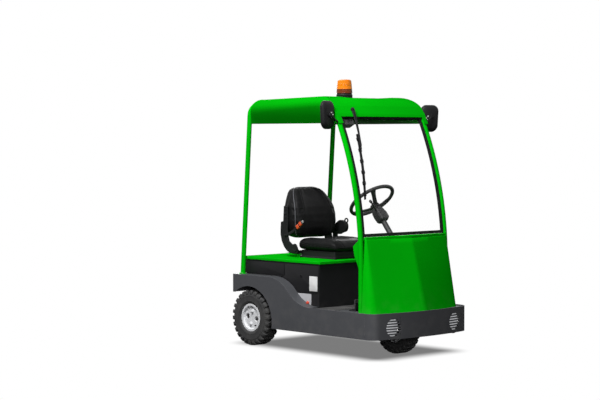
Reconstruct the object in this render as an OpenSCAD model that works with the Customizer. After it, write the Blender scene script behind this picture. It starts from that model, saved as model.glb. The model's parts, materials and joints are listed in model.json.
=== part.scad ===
// Three-wheel electric baggage tug with a roofed, open-sided cab.
// +X is forward, +Y is left and +Z is up. The origin is on the ground, midway along and across.

/* [Running gear] */
// Distance between the front and rear axles
wheelbase = 1180; // [1120:5:1260]
// Outer diameter of a rear tyre over its lugs
rear_tyre_d = 460; // [430:2:480]
// Width of a rear tyre
rear_tyre_w = 130; // [110:1:136]
// From the side of the body in to the middle of a rear tyre
track_in = 78.5; // [77.5:0.5:93.5]
// Outer diameter of the front tyre over its lugs
front_tyre_d = 415; // [390:2:430]
// Width of the front tyre
front_tyre_w = 110; // [95:1:120]
// Diameter of the seat that the tyre beads sit on
bead_d = 203; // [190:1:215]
// Number of tread lugs round each shoulder of a tyre
lug_count = 26; // [16:1:28]
// Depth of the tread lugs
lug_h = 11; // [6:1:16]

/* [Body] */
// From the front axle to the nose of the bumper
front_overhang = 320; // [300:5:360]
// From the rear axle to the back of the body
rear_overhang = 198; // [190:1:230]
// How far the tow jaw stands out behind the body
tow_reach = 102; // [90:1:140]
// Width over the side skirts
body_w = 1087; // [1080:1:1140]
// Height of the lower edge of skirts and bumper above the ground
skirt_z = 162; // [140:1:180]
// Height of the sill and of the bumper's top edge
sill_z = 365; // [355:1:390]
// Height of the flat top of the rear wings
wing_z = 583; // [560:1:610]
// Thickness of skirts, bumper and rear plate
plate_t = 8; // [6:1:12]
// Radius of the bumper's corners seen from above
corner_r = 90; // [60:1:120]
// How far the bumper's nose bows forward of its corners
nose_bow = 67.5; // [40:0.5:90]
// Angle of each half of the cowl's foot to the cross line, in degrees
cowl_fold = 12; // [8:0.1:12.6]
// Radius of the rear wheel arches
arch_r = 283; // [270:1:300]
// Length of the S-shaped sweep from wing to sill
sweep_l = 498; // [420:1:520]

/* [Battery box and deck] */
// Height of the deck's top face
deck_z = 727; // [700:1:760]
// From the side of the body in to the deck's edge
deck_in = 88.5; // [87.5:0.5:113.5]
// Height of the deck's folded rim
deck_rim = 22; // [16:1:30]
// Length of the battery box
box_l = 910; // [860:5:940]
// Sheet thickness of box, deck, cowl, dashboard and roof
sheet_t = 4; // [3:0.5:6]

/* [Cab] */
// From the side of the body in to the axis of a cab pillar
pillar_in = 63.5; // [53.5:0.5:67.5]
// Diameter of the cab pillars and of the rear hoop
pillar_d = 40; // [32:1:44]
// Front pillar axis, forward of the front axle
pillar_fwd = 68; // [50:1:80]
// Height at which the front pillars begin to curve back
curve_z = 730; // [700:1:780]
// Radius of the front pillars and of the windscreen seen from the side
screen_r = 2600; // [2400:10:2900]
// Lower edge of the windscreen glass
screen_z0 = 955; // [945:1:980]
// Upper edge of the windscreen glass
screen_z1 = 1872; // [1840:1:1880]
// Glass thickness
glass_t = 5; // [4:0.5:7]
// Visible width of the rubber seal round the glass
seal_w = 24; // [16:1:28]
// Height of the roof's two side rails
roof_z = 2042; // [2025:1:2060]
// How far the roof dips between its side rails
roof_dip = 18; // [6:1:22]
// Radius of the roof's rounded sides
roof_r = 140; // [125:1:160]
// Height of the roof's lower edge
valance_z = 1825; // [1815:1:1835]
// Foot of the rear hoop, forward of the body's back
hoop_fwd = 54; // [44:1:70]
// Forward lean of the rear hoop, in degrees
hoop_lean = 3.9; // [2:0.1:5]

/* [Steering and seat] */
// Lean of the steering column from the vertical, in degrees
column_lean = 39.2; // [34:0.1:44]
// Middle of the steering wheel, behind the front axle
wheel_back = 293; // [270:1:320]
// Height of the middle of the steering wheel
wheel_z = 1206; // [1180:1:1240]
// Outer diameter of the steering wheel
wheel_d = 400; // [360:1:420]
// Width of the seat cushion
seat_w = 460; // [420:1:500]
// Front face of the backrest, forward of the rear axle
seat_fwd = 236; // [220:1:260]

/* [Lamps and tow jaw] */
// From the side of the body in to the middle of a headlamp
lamp_in = 197.5; // [173.5:0.5:223.5]
// Radius of the louvred opening in front of a headlamp
louvre_r = 70; // [56:1:76]
// Number of louvre slots over each headlamp
louvre_n = 7; // [5:1:7]
// Radius of the hole for the tow pin
tow_bore_r = 13; // [10:0.5:16]
// Height of the middle of the tow jaw
tow_z = 345; // [330:1:370]
// Clear gap between the tow jaw's plates
tow_gap = 60; // [45:1:80]

/* [Hidden] */
$fn = 64;

// Finishes
green = "limegreen";
dark_grey = "dimgray";
black = "black";
near_black = [0.13, 0.13, 0.14];
white = "white";
amber = "orange";

// Clearances
seat_gap = 0.3;
run_gap = 0.3;

// Stations along the body
overall_l = tow_reach + rear_overhang + wheelbase + front_overhang;
x_tail = -overall_l / 2;
x_back = x_tail + tow_reach;
x_rear = x_back + rear_overhang;
x_front = x_rear + wheelbase;
x_nose = x_front + front_overhang;
x_pillar = x_front + pillar_fwd;
half_w = body_w / 2;
inner_w = half_w - plate_t;
rear_track_half = half_w - track_in;
deck_half_w = half_w - deck_in;
pillar_y = half_w - pillar_in;
lamp_y = half_w - lamp_in;

// Floor and frame
floor_t = 6;
floor_z = sill_z - 8;
rail_w = 50;
rail_h = 60;
rail_in = 165;
rail_y = rear_track_half - rail_in;
rail_z = floor_z - floor_t - rail_h;
cross_w = 50;

// Battery box
box_gap = 20;
box_x0 = x_back + 28;
box_x1 = box_x0 + box_l;
box_half_w = deck_half_w - 10;
box_low_w = rear_track_half - rear_tyre_w / 2 - 33;
box_z0 = rail_z + rail_h;
box_z1 = deck_z - sheet_t - seat_gap;
wing_t = 6;
wing_end = x_rear + 310;

// Hinge behind the deck
knuckle_r = 9;
knuckle_l = 56;
ear_w = 20;
pin_r = 5;
hinge_x = box_x0 - knuckle_r - 1.5;
hinge_in = 155;
hinge_y = deck_half_w - hinge_in;
hinge_z = deck_z - deck_rim;

// Wing sweep: two equal arcs that meet at one tangent
sweep_x0 = x_rear + 232;
sweep_x1 = sweep_x0 + sweep_l;
sweep_h = wing_z - sill_z;
sweep_r = (sweep_l * sweep_l + sweep_h * sweep_h) / (4 * sweep_h);
sweep_a = asin(sweep_l / (2 * sweep_r));
arch_z = rear_tyre_d / 2 - 23;
tail_z = wing_z - 150;

// Rear wheels, axle and motor
rear_r = rear_tyre_d / 2;
gear_r = 92;
motor_r = 84;
motor_l = 260;
motor_in = 12;
spindle_r = 20;
spindle_out = 20;
hub_r = 30;

// Front wheel, fork and housing
front_r = front_tyre_d / 2;
axle_r = 12.5;
stem_r = 25;
leg_t = 14;
leg_y = front_tyre_w / 2 + 9;
crown_t = 30;
crown_r = 82;
crown_z = front_tyre_d + 18;
cross_x = x_front - front_r - 25 - cross_w;
drum_r = 200;
drum_t = 5;
drum_top_z = crown_z + crown_t + seat_gap;
drum_top_t = 8;
bearing_h = 50;

// Cab arc that pillars and windscreen share, seen from the side
pillar_r = pillar_d / 2;
arc_x = x_pillar - screen_r;
arc_z = curve_z;
function arc_angle(z) = asin((z - arc_z) / screen_r);
function arc_at(z) = arc_x + screen_r * cos(arc_angle(z));
pillar_top = 1858;
glass_half_w = pillar_y - pillar_r - 12;
seal_half_w = pillar_y - pillar_r - seat_gap;
seal_in_w = seal_half_w - seal_w;
seal_d = 18;
seal_over = 12;

// Roof shell
roof_half_w = pillar_y + pillar_r + 0.5 + sheet_t;
visor_r = screen_r + pillar_r + 0.5 + sheet_t;
visor_fillet = 260;
fillet_z = roof_z - visor_fillet;
visor_a = asin((fillet_z - arc_z) / (visor_r - visor_fillet));
fillet_x = arc_x + (visor_r - visor_fillet) * cos(visor_a);
hoop_x = x_back + hoop_fwd;
function hoop_at(z) = hoop_x + (z - wing_z) * tan(hoop_lean);
hoop_bend = roof_r - 6;
hoop_proud = 4;
hoop_rise = (roof_z - pillar_r + hoop_proud - wing_z) / cos(hoop_lean);
roof_tail = pillar_r + 0.4;

// Steering column
column_dir = [-sin(column_lean), 0, cos(column_lean)];
wheel_c = [x_front - wheel_back, 0, wheel_z];
column_r = 22;
column_l = 420;
column_end = wheel_c - column_dir * column_l;
rim_r = 13;
wheel_dish = 70;
hub_foot = 5;

// Dashboard
dash_h = 228;
dash_knee = 66;
dash_half_w = pillar_y - pillar_r - seat_gap;
dash_x1 = x_pillar;

// Seat
seat_z = deck_z + seat_gap;
seat_x = x_rear + seat_fwd;
pan_h = 62;
pan_l = 400;
pan_in = 20;
cushion_h = 95;
cushion_l = 470;
base_half_w = 190;
back_half_w = seat_w / 2 + 9;
back_foot = 158;
back_h = 419;
back_d = 173;
bracket_t = 16;
bracket_h = 288;
buckle_h = 270;
buckle_w = 30;
buckle_t = 14;
buckle_fwd = 48;
belt_h = 286;
post_w = 36;

// Mirrors
mirror_gap = 0.5;
mirror_w = 150;
mirror_h = 218;
mirror_t = 42;
mirror_corner = 55;
mirror_z = 1880;
mirror_x = x_front - 200;
mirror_turn = 10;
mirror_half = mirror_w / 2 * cos(mirror_turn) + mirror_t / 2 * sin(mirror_turn);
mirror_y = roof_half_w + mirror_gap + mirror_half;

// Wiper: pivot on the visor, blade a little aslant across the glass
wiper_y = 162 - pillar_y;
pivot_a = visor_a + 8.28;
pivot_z = fillet_z + visor_fillet * sin(pivot_a);
wiper_z = pivot_z - 5;
wiper_a = arc_angle(wiper_z);
blade_y0 = 80 - pillar_y;
blade_z0 = 1230;
blade_y1 = 143 - pillar_y;
blade_z1 = 1735;
blade_mid_y = 130 - pillar_y;
blade_mid_z = 1640;
arm_r0 = visor_r + 8;
arm_r1 = arm_r0 + 8;

// Beacon
beacon_back = 610;
beacon_x = x_front - beacon_back;
beacon_h = 50;

// Lamps
lamp_z = 252;
lamp_r = 96;
slot_h = 9;

// Points along an arc in a plane
function arc_pts(c, r, a0, a1, n) =
  [for (i = [0:n]) [c[0] + r * cos(a0 + (a1 - a0) * i / n), c[1] + r * sin(a0 + (a1 - a0) * i / n)]];

// A U seen from above: straight sides, round corners and a bowed nose
function bow_r(w, sag) = (w * w + sag * sag) / (2 * sag);
function bow_a(w, sag, r) = asin((w - r) / (bow_r(w, sag) - r));
function bow_x(nose, w, sag) = nose - bow_r(w, sag);
function corner_x(nose, w, sag, r) =
  bow_x(nose, w, sag) + sqrt(pow(bow_r(w, sag) - r, 2) - pow(w - r, 2));
function u_curve(nose, w, sag, r, inset = 0) = concat(
  arc_pts([corner_x(nose, w, sag, r), r - w], r - inset, -90, -bow_a(w, sag, r), 12),
  arc_pts([bow_x(nose, w, sag), 0], bow_r(w, sag) - inset, -0.9 * bow_a(w, sag, r), 0.9 * bow_a(w, sag, r), 18),
  arc_pts([corner_x(nose, w, sag, r), w - r], r - inset, bow_a(w, sag, r), 90, 12));
function backward(v) = [for (i = [len(v) - 1:-1:0]) v[i]];

// A U seen from above: straight sides, round corners and two flat halves that meet in a soft fold
fold_r = 150;
function fold_x(nose, w, fold, r) =
  nose - fold_r + (fold_r - r - (w - r) * sin(fold)) / cos(fold);
function between(a, b) = [for (i = [1:7]) a + (b - a) * i / 8];
function prow(nose, w, fold, r, back, inset) =
  let (
    right = arc_pts([fold_x(nose, w, fold, r), r - w], r - inset, -90, -fold, 8),
    middle = arc_pts([nose - fold_r, 0], fold_r - inset, -fold, fold, 6),
    left = arc_pts([fold_x(nose, w, fold, r), w - r], r - inset, fold, 90, 8))
  concat([[back, inset - w]], right, between(right[8], middle[0]), middle, between(middle[6], left[0]), left,
         [[back, w - inset]]);

body_corner_x = corner_x(x_nose, half_w, nose_bow, corner_r);
body_bow_r = bow_r(half_w, nose_bow);
seam_x = body_corner_x - 12;

// A box between two corners
module block(a, b) {
  translate(a) cube(b - a);
}

// A profile drawn in X and Z, given thickness along Y from y0 to y1
module side_profile(y0, y1) {
  translate([0, y1, 0]) rotate([90, 0, 0]) linear_extrude(y1 - y0) children();
}

// A body of revolution about the Y axis
module turned() {
  rotate([-90, 0, 0]) rotate_extrude() children();
}

// A round bar from one point to another
module bar(a, b, r) {
  d = b - a;
  translate(a) rotate([0, acos(d[2] / norm(d)), atan2(d[1], d[0])]) cylinder(r = r, h = norm(d));
}

// A square of given corners with rounded corners, in a plane
module rounded(w, h, r) {
  square([w - 2 * r, h], center = true);
  square([w, h - 2 * r], center = true);
  for (i = [-1, 1], j = [-1, 1]) translate([i * (w / 2 - r), j * (h / 2 - r)]) circle(r);
}

// Left-hand pieces mirror the right-hand ones
module left_side() {
  mirror([0, 1, 0]) children();
}

module both_sides() {
  children();
  left_side() children();
}

// Frame

module frame_rails() {
  color(black) both_sides()
    block([x_back + plate_t, -rail_y - rail_w / 2, rail_z],
          [cross_x, -rail_y + rail_w / 2, rail_z + rail_h]);
}

module cross_members() {
  back_x = box_x0 + 60;
  color(black) {
    block([cross_x, -inner_w, rail_z], [cross_x + cross_w, inner_w, rail_z + rail_h]);
    block([back_x, -rail_y + rail_w / 2, rail_z + 18],
          [back_x + cross_w, rail_y - rail_w / 2, rail_z + rail_h]);
  }
}

// Wing and sill

// Outline below the wing's sweep, drawn "inset" below its edge
module wing_shape(inset = 0) {
  low = skirt_z - 1;
  polygon(concat(
    [[x_back - inset, low], [x_back - inset, wing_z - inset]],
    arc_pts([sweep_x0, wing_z - sweep_r], sweep_r - inset, 90, 90 - sweep_a, 16),
    arc_pts([sweep_x1, sill_z + sweep_r], sweep_r + inset, 270 - sweep_a * 15 / 16, 270, 15),
    [[seam_x + inset, sill_z - inset], [seam_x + inset, low]]));
}

module block2d(x0, y0, x1, y1) {
  translate([x0, y0]) square([x1 - x0, y1 - y0]);
}

// Folded plate: an upright side, and a flange along its upper edge as far as the sill
module side_skirt() {
  difference() {
    side_profile(-half_w, -box_half_w - seat_gap) wing_shape();
    side_profile(-inner_w, 0) wing_shape(wing_t);
    block([sweep_x1, -inner_w, skirt_z - 2], [seam_x + 1, 0, wing_z]);
    block([x_back - 1, -half_w - 1, skirt_z - 2], [seam_x + 1, 0, skirt_z]);
    block([x_back - 1, -half_w - 1, skirt_z - 2], [x_rear, 0, tail_z]);
    side_profile(-half_w - 1, 0) translate([x_rear, arch_z]) circle(arch_r);
  }
  block([x_back + plate_t, -box_half_w - 2, wing_z - wing_t], [sweep_x0, -box_low_w, wing_z]);
}

module side_skirt_right() {
  color(dark_grey) side_skirt();
}

module side_skirt_left() {
  color(dark_grey) left_side() side_skirt();
}

module front_bumper() {
  color(dark_grey) difference() {
    translate([0, 0, skirt_z]) linear_extrude(sill_z - skirt_z) polygon(concat(
      [[seam_x, -half_w]], u_curve(x_nose, half_w, nose_bow, corner_r), [[seam_x, half_w], [seam_x, inner_w]],
      backward(u_curve(x_nose, half_w, nose_bow, corner_r, plate_t)), [[seam_x, -inner_w]]));
    both_sides() louvres();
  }
}

// Level slots inside a round field
module louvres() {
  pitch = 2 * louvre_r / louvre_n;
  intersection() {
    translate([body_corner_x - corner_r, -lamp_y, lamp_z]) rotate([0, 90, 0]) cylinder(r = louvre_r, h = 400);
    for (i = [0:louvre_n - 1])
      translate([body_corner_x, -lamp_y, lamp_z - louvre_r + (i + 0.5) * pitch])
        cube([400, 2 * louvre_r, slot_h], center = true);
  }
}

module rear_plate() {
  foot = 200;
  low_w = rear_track_half - rear_tyre_w / 2 - 20;
  color(dark_grey) translate([x_back + plate_t, 0, 0]) rotate([90, 0, -90]) linear_extrude(plate_t) polygon([
    [-inner_w, wing_z - wing_t], [-inner_w, tail_z], [-low_w, tail_z], [-low_w + 40, foot],
    [low_w - 40, foot], [low_w, tail_z], [inner_w, tail_z], [inner_w, wing_z - wing_t]]);
}

module floor_plate() {
  color(dark_grey) difference() {
    translate([0, 0, floor_z - floor_t]) linear_extrude(floor_t) polygon(concat(
      [[box_x1 + seat_gap, plate_t - half_w]],
      u_curve(x_nose, half_w, nose_bow, corner_r, plate_t + seat_gap),
      [[box_x1 + seat_gap, half_w - plate_t]]));
    translate([x_front, 0, floor_z - floor_t - 1]) cylinder(r = drum_r + seat_gap, h = floor_t + 2);
  }
}

// Round house over the steered wheel, with the fork's bearing in its top
module wheel_housing() {
  color(near_black) translate([x_front, 0, 0]) difference() {
    union() {
      translate([0, 0, floor_z - floor_t])
        cylinder(r = drum_r, h = drum_top_z + drum_top_t - floor_z + floor_t);
      translate([0, 0, drum_top_z]) cylinder(r = stem_r + 14, h = drum_top_t + bearing_h);
    }
    translate([0, 0, floor_z - floor_t - 1])
      cylinder(r = drum_r - drum_t, h = drum_top_z - floor_z + floor_t + 1);
    translate([0, 0, drum_top_z - 1]) cylinder(r = stem_r + run_gap, h = drum_top_t + bearing_h + 2);
  }
}

// Battery box and its battery

module box_low_plan(inset) {
  block2d(box_x0 + inset, -box_low_w + inset, box_x1 - inset, box_low_w - inset);
  block2d(wing_end + inset, -box_half_w + inset, box_x1 - inset, box_half_w - inset);
}

// Two ears and a pin, fixed to the box's rear wall
module box_hinge() {
  reach = knuckle_l / 2 + 1;
  translate([hinge_x, -hinge_y, hinge_z]) {
    rotate([90, 0, 0]) cylinder(r = pin_r, h = 2 * (reach + ear_w), center = true);
    for (s = [-1, 1]) translate([0, s * (reach + ear_w / 2), 0]) {
      rotate([90, 0, 0]) cylinder(r = knuckle_r, h = ear_w, center = true);
      block([0, -ear_w / 2, -knuckle_r], [box_x0 - hinge_x + sheet_t / 2, ear_w / 2, knuckle_r]);
    }
  }
}

module battery_box() {
  color(near_black) both_sides() box_hinge();
  color(near_black) difference() {
    union() {
      translate([0, 0, box_z0]) linear_extrude(wing_z - box_z0 + 1) box_low_plan(0);
      block([box_x0, -box_half_w, wing_z], [box_x1, box_half_w, box_z1]);
    }
    translate([0, 0, box_z0 + sheet_t]) linear_extrude(box_z1 - box_z0) box_low_plan(sheet_t);
    block([box_x0 + sheet_t, sheet_t - box_half_w, wing_z + sheet_t],
          [box_x1 - sheet_t, box_half_w - sheet_t, box_z1 + 1]);
  }
}

module battery_pack() {
  margin = 25;
  color(near_black) block([box_x0 + margin, -box_low_w + margin, box_z0 + sheet_t],
                          [box_x1 - margin, box_low_w - margin, box_z1 - 60]);
}

// Cab

// Sheet that runs from the floor up to the windscreen, folded on the middle line
module cowl_sheet(foot_out, foot_in, head_out, head_in, top) {
  function at(v, z) = [for (p = v) [p[0], p[1], z]];
  n = len(foot_out);
  pts = concat(at(foot_out, floor_z), at(foot_in, floor_z), at(head_out, top), at(head_in, top));
  function strip(a, b) =
    [for (i = [0:n - 2]) each [[a + i, b + i, b + i + 1], [a + i, b + i + 1, a + i + 1]]];
  function strip_in(a, b) =
    [for (i = [0:n - 2]) each [[a + i, b + i, a + i + 1], [b + i, b + i + 1, a + i + 1]]];
  faces = concat(
    strip(0, 2 * n), strip_in(3 * n, n), strip(n, 0), strip(2 * n, 3 * n),
    [[0, n, 3 * n], [0, 3 * n, 2 * n]],
    [[n - 1, 4 * n - 1, 2 * n - 1], [n - 1, 3 * n - 1, 4 * n - 1]]);
  polyhedron(pts, faces);
}

// The sheet ends in a step, a lip and a flange that reaches under the windscreen's seal
module cowl() {
  foot_back = x_pillar + pillar_r + 6;
  foot_nose = x_nose - 20;
  foot_w = pillar_y + pillar_r;
  foot_r = 80;
  head_back = x_pillar + 16;
  head_w = pillar_y - pillar_r - 4;
  head_nose = x_pillar + 84;
  head_fold = cowl_fold * 0.54;
  head_r = 14;
  head_z = arc_z + (screen_r - seal_d / 2) * sin(arc_angle(screen_z0 - seal_over)) - seat_gap;
  lip_z = head_z - 20;
  lip_in = 5;
  flange_x = x_pillar - 17;
  function foot(inset) = prow(foot_nose, foot_w, cowl_fold, foot_r, foot_back, inset);
  function head(inset) = prow(head_nose, head_w, head_fold, head_r, head_back, inset);
  color(green) {
    cowl_sheet(foot(0), foot(sheet_t), head(0), head(sheet_t), lip_z - 1);
    translate([0, 0, lip_z - sheet_t]) linear_extrude(sheet_t)
      polygon(concat(head(0), backward(head(lip_in + sheet_t))));
    translate([0, 0, lip_z - 1]) linear_extrude(head_z - lip_z + 1)
      polygon(concat(head(lip_in), backward(head(lip_in + sheet_t))));
    translate([0, 0, head_z - sheet_t]) linear_extrude(sheet_t) polygon(concat(
      head(lip_in + 1), [[flange_x, head_w - lip_in - 1], [flange_x, lip_in + 1 - head_w]]));
  }
}

// Folded panel with closed cheeks, square to the column where the column passes
module dash_shape() {
  face_mid = [column_end[0], column_end[2]];
  along = [cos(column_lean), sin(column_lean)];
  back_edge = face_mid - along * 22;
  top_edge = face_mid + along * 56;
  low = back_edge[1] - dash_h;
  polygon([back_edge, back_edge + [14, -dash_knee], [dash_x1 - 24, low + 6], [dash_x1, low],
           [dash_x1, top_edge[1] + 4], top_edge]);
}

module dashboard() {
  color(green) difference() {
    union() {
      side_profile(-dash_half_w, dash_half_w) difference() {
        dash_shape();
        translate([sheet_t * 1.5, 0]) dash_shape();
      }
      both_sides() side_profile(-dash_half_w, sheet_t - dash_half_w) dash_shape();
    }
    translate(wheel_c) rotate([0, -column_lean, 0]) translate([0, 0, -column_l - 200])
      cylinder(r = column_r + seat_gap, h = 400);
  }
}

module front_pillar() {
  translate([x_pillar, -pillar_y, floor_z]) cylinder(r = pillar_r, h = arc_z - floor_z);
  translate([arc_x, -pillar_y, arc_z]) rotate([90, 0, 0])
    rotate_extrude(angle = arc_angle(pillar_top), $fn = 720)
      translate([screen_r, 0]) circle(pillar_r, $fn = 48);
}

module front_pillar_right() {
  color(green) front_pillar();
}

module front_pillar_left() {
  color(green) left_side() front_pillar();
}

// One tube bent twice, standing on both wings
module rear_hoop() {
  leg = hoop_rise - hoop_bend;
  color(green) both_sides() translate([hoop_x, -pillar_y, wing_z]) cylinder(r = pillar_r + 12, h = 6);
  color(green) intersection() {
    translate([hoop_x, 0, wing_z]) rotate([0, hoop_lean, 0]) {
      both_sides() {
        translate([0, -pillar_y, -30]) cylinder(r = pillar_r, h = leg + 30);
        translate([0, hoop_bend - pillar_y, leg]) rotate([90, 0, -90])
          rotate_extrude(angle = 90) translate([hoop_bend, 0]) circle(pillar_r);
      }
      translate([0, hoop_bend - pillar_y, hoop_rise]) rotate([-90, 0, 0])
        cylinder(r = pillar_r, h = 2 * (pillar_y - hoop_bend));
    }
    block([x_back - 50, -half_w, wing_z], [x_front, half_w, roof_z + 200]);
  }
}

// Roof outline seen from the front, drawn "inset" inside its skin
module roof_section(inset) {
  w = roof_half_w - inset;
  c = [roof_half_w - roof_r, roof_z - roof_r];
  flat = 110;
  dip = [for (i = [1:10]) [c[0] + (flat - c[0]) * i / 10, roof_z - inset - roof_dip * (1 - cos(18 * i)) / 2]];
  polygon(concat(
    [[-w, valance_z - inset * 10]],
    arc_pts([-c[0], c[1]], roof_r - inset, 180, 90, 16),
    [for (p = dip) [-p[0], p[1]]],
    backward(dip),
    arc_pts(c, roof_r - inset, 90, 0, 16),
    [[w, valance_z - inset * 10]]));
}

// Roof outline seen from the side: it leans with the hoop behind and follows the screen's arc in front
module roof_side(inset) {
  r = visor_r - inset;
  top = roof_z - inset;
  low = valance_z - inset * 10;
  low_a = asin((low - arc_z) / r);
  tail = roof_tail - inset * 20;
  polygon(concat(
    [[hoop_at(low) + tail, low], [hoop_at(top) + tail, top]],
    arc_pts([fillet_x, fillet_z], visor_fillet - inset, 90, visor_a, 16),
    arc_pts([arc_x, arc_z], r, visor_a + (low_a - visor_a) / 6, low_a, 5)));
}

module roof_form(inset) {
  intersection() {
    translate([x_back - 100, 0, 0]) rotate([90, 0, 90]) linear_extrude(overall_l) roof_section(inset);
    side_profile(-half_w, half_w) roof_side(inset);
  }
}

module roof() {
  cut_w = pillar_y - pillar_r - seat_gap;
  color(green) difference() {
    roof_form(0);
    roof_form(sheet_t);
    block([arc_at(screen_z1) - 60, -cut_w, valance_z - 100], [x_nose, cut_w, screen_z1 + 6]);
  }
}

// Part of the screen's cylinder between two heights
module screen_slab(z0, z1, half, r0, r1) {
  translate([arc_x, half, arc_z]) rotate([90, 0, 0]) rotate([0, 0, arc_angle(z0)])
    rotate_extrude(angle = arc_angle(z1) - arc_angle(z0), $fn = 720)
      translate([r0, 0]) square([r1 - r0, 2 * half]);
}

module windscreen() {
  color([0.8, 0.9, 0.9, 0.3])
    screen_slab(screen_z0, screen_z1, glass_half_w, screen_r - glass_t / 2, screen_r + glass_t / 2);
}

module windscreen_seal() {
  lip = seal_w - seal_over;
  color(black) difference() {
    screen_slab(screen_z0 - seal_over, screen_z1 + 5, seal_half_w,
                screen_r - seal_d / 2, screen_r + seal_d / 2);
    screen_slab(screen_z0 + lip, screen_z1 - lip, seal_in_w, screen_r - seal_d, screen_r + seal_d);
    screen_slab(screen_z0 - 0.2, screen_z1 + 0.2, glass_half_w + 0.2,
                screen_r - glass_t / 2 - 0.1, screen_r + glass_t / 2 + 0.1);
  }
}

// Wiper, parked near the right pillar

// A strip of the screen's cylinder that runs from one point across the glass to another
module wiper_strip(y0, z0, y1, z1, w, r0, r1) {
  slant = atan2(y1 - y0, z1 - z0);
  intersection() {
    screen_slab(z0, z1, half_w, r0, r1);
    translate([0, y0, z0]) rotate([-slant, 0, 0]) translate([0, -w / 2, -100]) cube([x_nose, w, z1 - z0 + 400]);
  }
}

module wiper_arm() {
  boss_r = 15;
  boss_h = 24;
  color(near_black) {
    translate([fillet_x, wiper_y, fillet_z]) rotate([0, 90 - pivot_a, 0])
      translate([0, 0, visor_fillet + seat_gap]) cylinder(r = boss_r, h = boss_h);
    wiper_strip(blade_mid_y, blade_mid_z, wiper_y, wiper_z, 16, arm_r0, arm_r1);
  }
}

module wiper_blade() {
  color(black) wiper_strip(blade_y0, blade_z0, blade_y1, blade_z1, 10,
                           screen_r + glass_t / 2 + 0.4, arm_r0 - seat_gap);
}

// Motor box under the visor, on a pad against the visor's inner face
module wiper_motor() {
  inner = visor_r - sheet_t - seat_gap;
  color(dark_grey) translate([arc_x, blade_mid_y - 50, arc_z]) rotate([0, -wiper_a, 0]) {
    block([inner - 100, 0, -115], [inner - 34, 100, 10]);
    block([inner - 40, 20, -43], [inner - 1.2, 80, -22]);
  }
}

// Mirrors

module mirror_head() {
  translate([mirror_x, -mirror_y, mirror_z]) rotate([0, 0, mirror_turn]) rotate([90, 0, 90])
    translate([0, 0, -mirror_t / 2]) linear_extrude(mirror_t) rounded(mirror_w, mirror_h, mirror_corner);
}

module mirror_head_right() {
  color(black) mirror_head();
}

module mirror_head_left() {
  color(black) left_side() mirror_head();
}

// Rod from the roof's side to a ball joint on the front of the head
module mirror_arms() {
  arm_r = 7;
  clamp_r = 10;
  clamp_h = 6;
  joint_r = 16;
  joint_h = 14;
  clamp = [mirror_x + 32, -roof_half_w - seat_gap, valance_z + 14];
  out = mirror_t / 2 + joint_h / 2;
  joint = [mirror_x + out * cos(mirror_turn), -mirror_y + out * sin(mirror_turn), mirror_z + 8];
  color(black) both_sides() {
    translate(clamp) rotate([90, 0, 0]) cylinder(r = clamp_r, h = clamp_h);
    bar(clamp - [0, clamp_h, 0], joint, arm_r);
    translate(joint) rotate([0, 0, mirror_turn]) translate([seat_gap - joint_h / 2, 0, 0])
      rotate([0, 90, 0]) cylinder(r = joint_r, h = joint_h);
  }
}

// Beacon

module beacon_base() {
  color(black) translate([beacon_x, 0, roof_z - roof_dip]) rotate_extrude()
    polygon([[0, 0], [72, 0], [72, 12], [66, 36], [66, beacon_h], [0, beacon_h]]);
}

module beacon_lens() {
  color(amber) translate([beacon_x, 0, roof_z - roof_dip + beacon_h]) rotate_extrude()
    polygon([[0, 0], [65, 0], [64, 26], [56, 104], [50, 113], [0, 113]]);
}

// Steering column and controls

module steering_column() {
  collar_t = 12;
  tail = 60;
  top = wheel_dish + hub_foot + seat_gap;
  shroud_z = -210;
  shroud_l = 112;
  color(near_black) translate(wheel_c) rotate([0, -column_lean, 0]) {
    translate([0, 0, -column_l - tail]) cylinder(r = column_r, h = column_l + tail - top);
    translate([0, 0, -column_l + seat_gap]) cylinder(r = column_r + 22, h = collar_t);
    translate([0, 0, shroud_z]) linear_extrude(shroud_l) rounded(90, 96, 22);
    block([-24, 40, shroud_z + 22], [24, 72, shroud_z + shroud_l - 16]);
  }
}

module pedal(y, w) {
  translate([x_front - 130, y, floor_z]) side_profile(-w / 2, w / 2)
    polygon([[0, 0], [70, 0], [78, 20], [70, 90], [58, 90], [62, 24], [0, 8]]);
}

module pedals() {
  color(near_black) {
    pedal(-290, 70);
    pedal(-390, 60);
  }
}

// Lamps

module headlamps() {
  back_x = body_corner_x - 60;
  front_x = body_corner_x - 4;
  color(near_black) both_sides() difference() {
    translate([back_x, -lamp_y, lamp_z]) rotate([0, 90, 0]) cylinder(r = lamp_r, h = x_nose - back_x);
    translate([x_nose - body_bow_r, 0, 0]) difference() {
      cylinder(r = body_bow_r + 300, h = sill_z + 50, $fn = 720);
      translate([0, 0, -1]) cylinder(r = body_bow_r - plate_t - seat_gap, h = sill_z + 60, $fn = 720);
    }
    translate([front_x, -lamp_y, lamp_z]) rotate([0, 90, 0]) cylinder(r = lamp_r - 12, h = 200);
  }
}

module tail_lamps() {
  color("red") both_sides()
    translate([x_back, -inner_w + 60, wing_z - 60]) rotate([0, -90, 0]) rotate([0, 0, 90])
      translate([0, 0, seat_gap]) linear_extrude(28) rounded(84, 44, 10);
}

// Tow jaw: two plates with one upright hole for the pin

module tow_hitch() {
  jaw_t = 16;
  jaw_w = 96;
  pin_in = 36;
  bore_x = x_tail + pin_in;
  color(black) difference() {
    union() {
      for (s = [-1, 1]) translate([0, 0, tow_z + s * (tow_gap + jaw_t) / 2]) {
        translate([0, 0, -jaw_t / 2]) linear_extrude(jaw_t) {
          block2d(bore_x, -jaw_w / 2, x_back - 14, jaw_w / 2);
          translate([x_tail + jaw_w / 2, 0]) circle(jaw_w / 2);
        }
      }
      block([x_back - 14, -80, tow_z - 90], [x_back, 80, tow_z + 90]);
    }
    translate([bore_x, 0, tow_z - 200]) cylinder(r = tow_bore_r, h = 400);
  }
}

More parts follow.
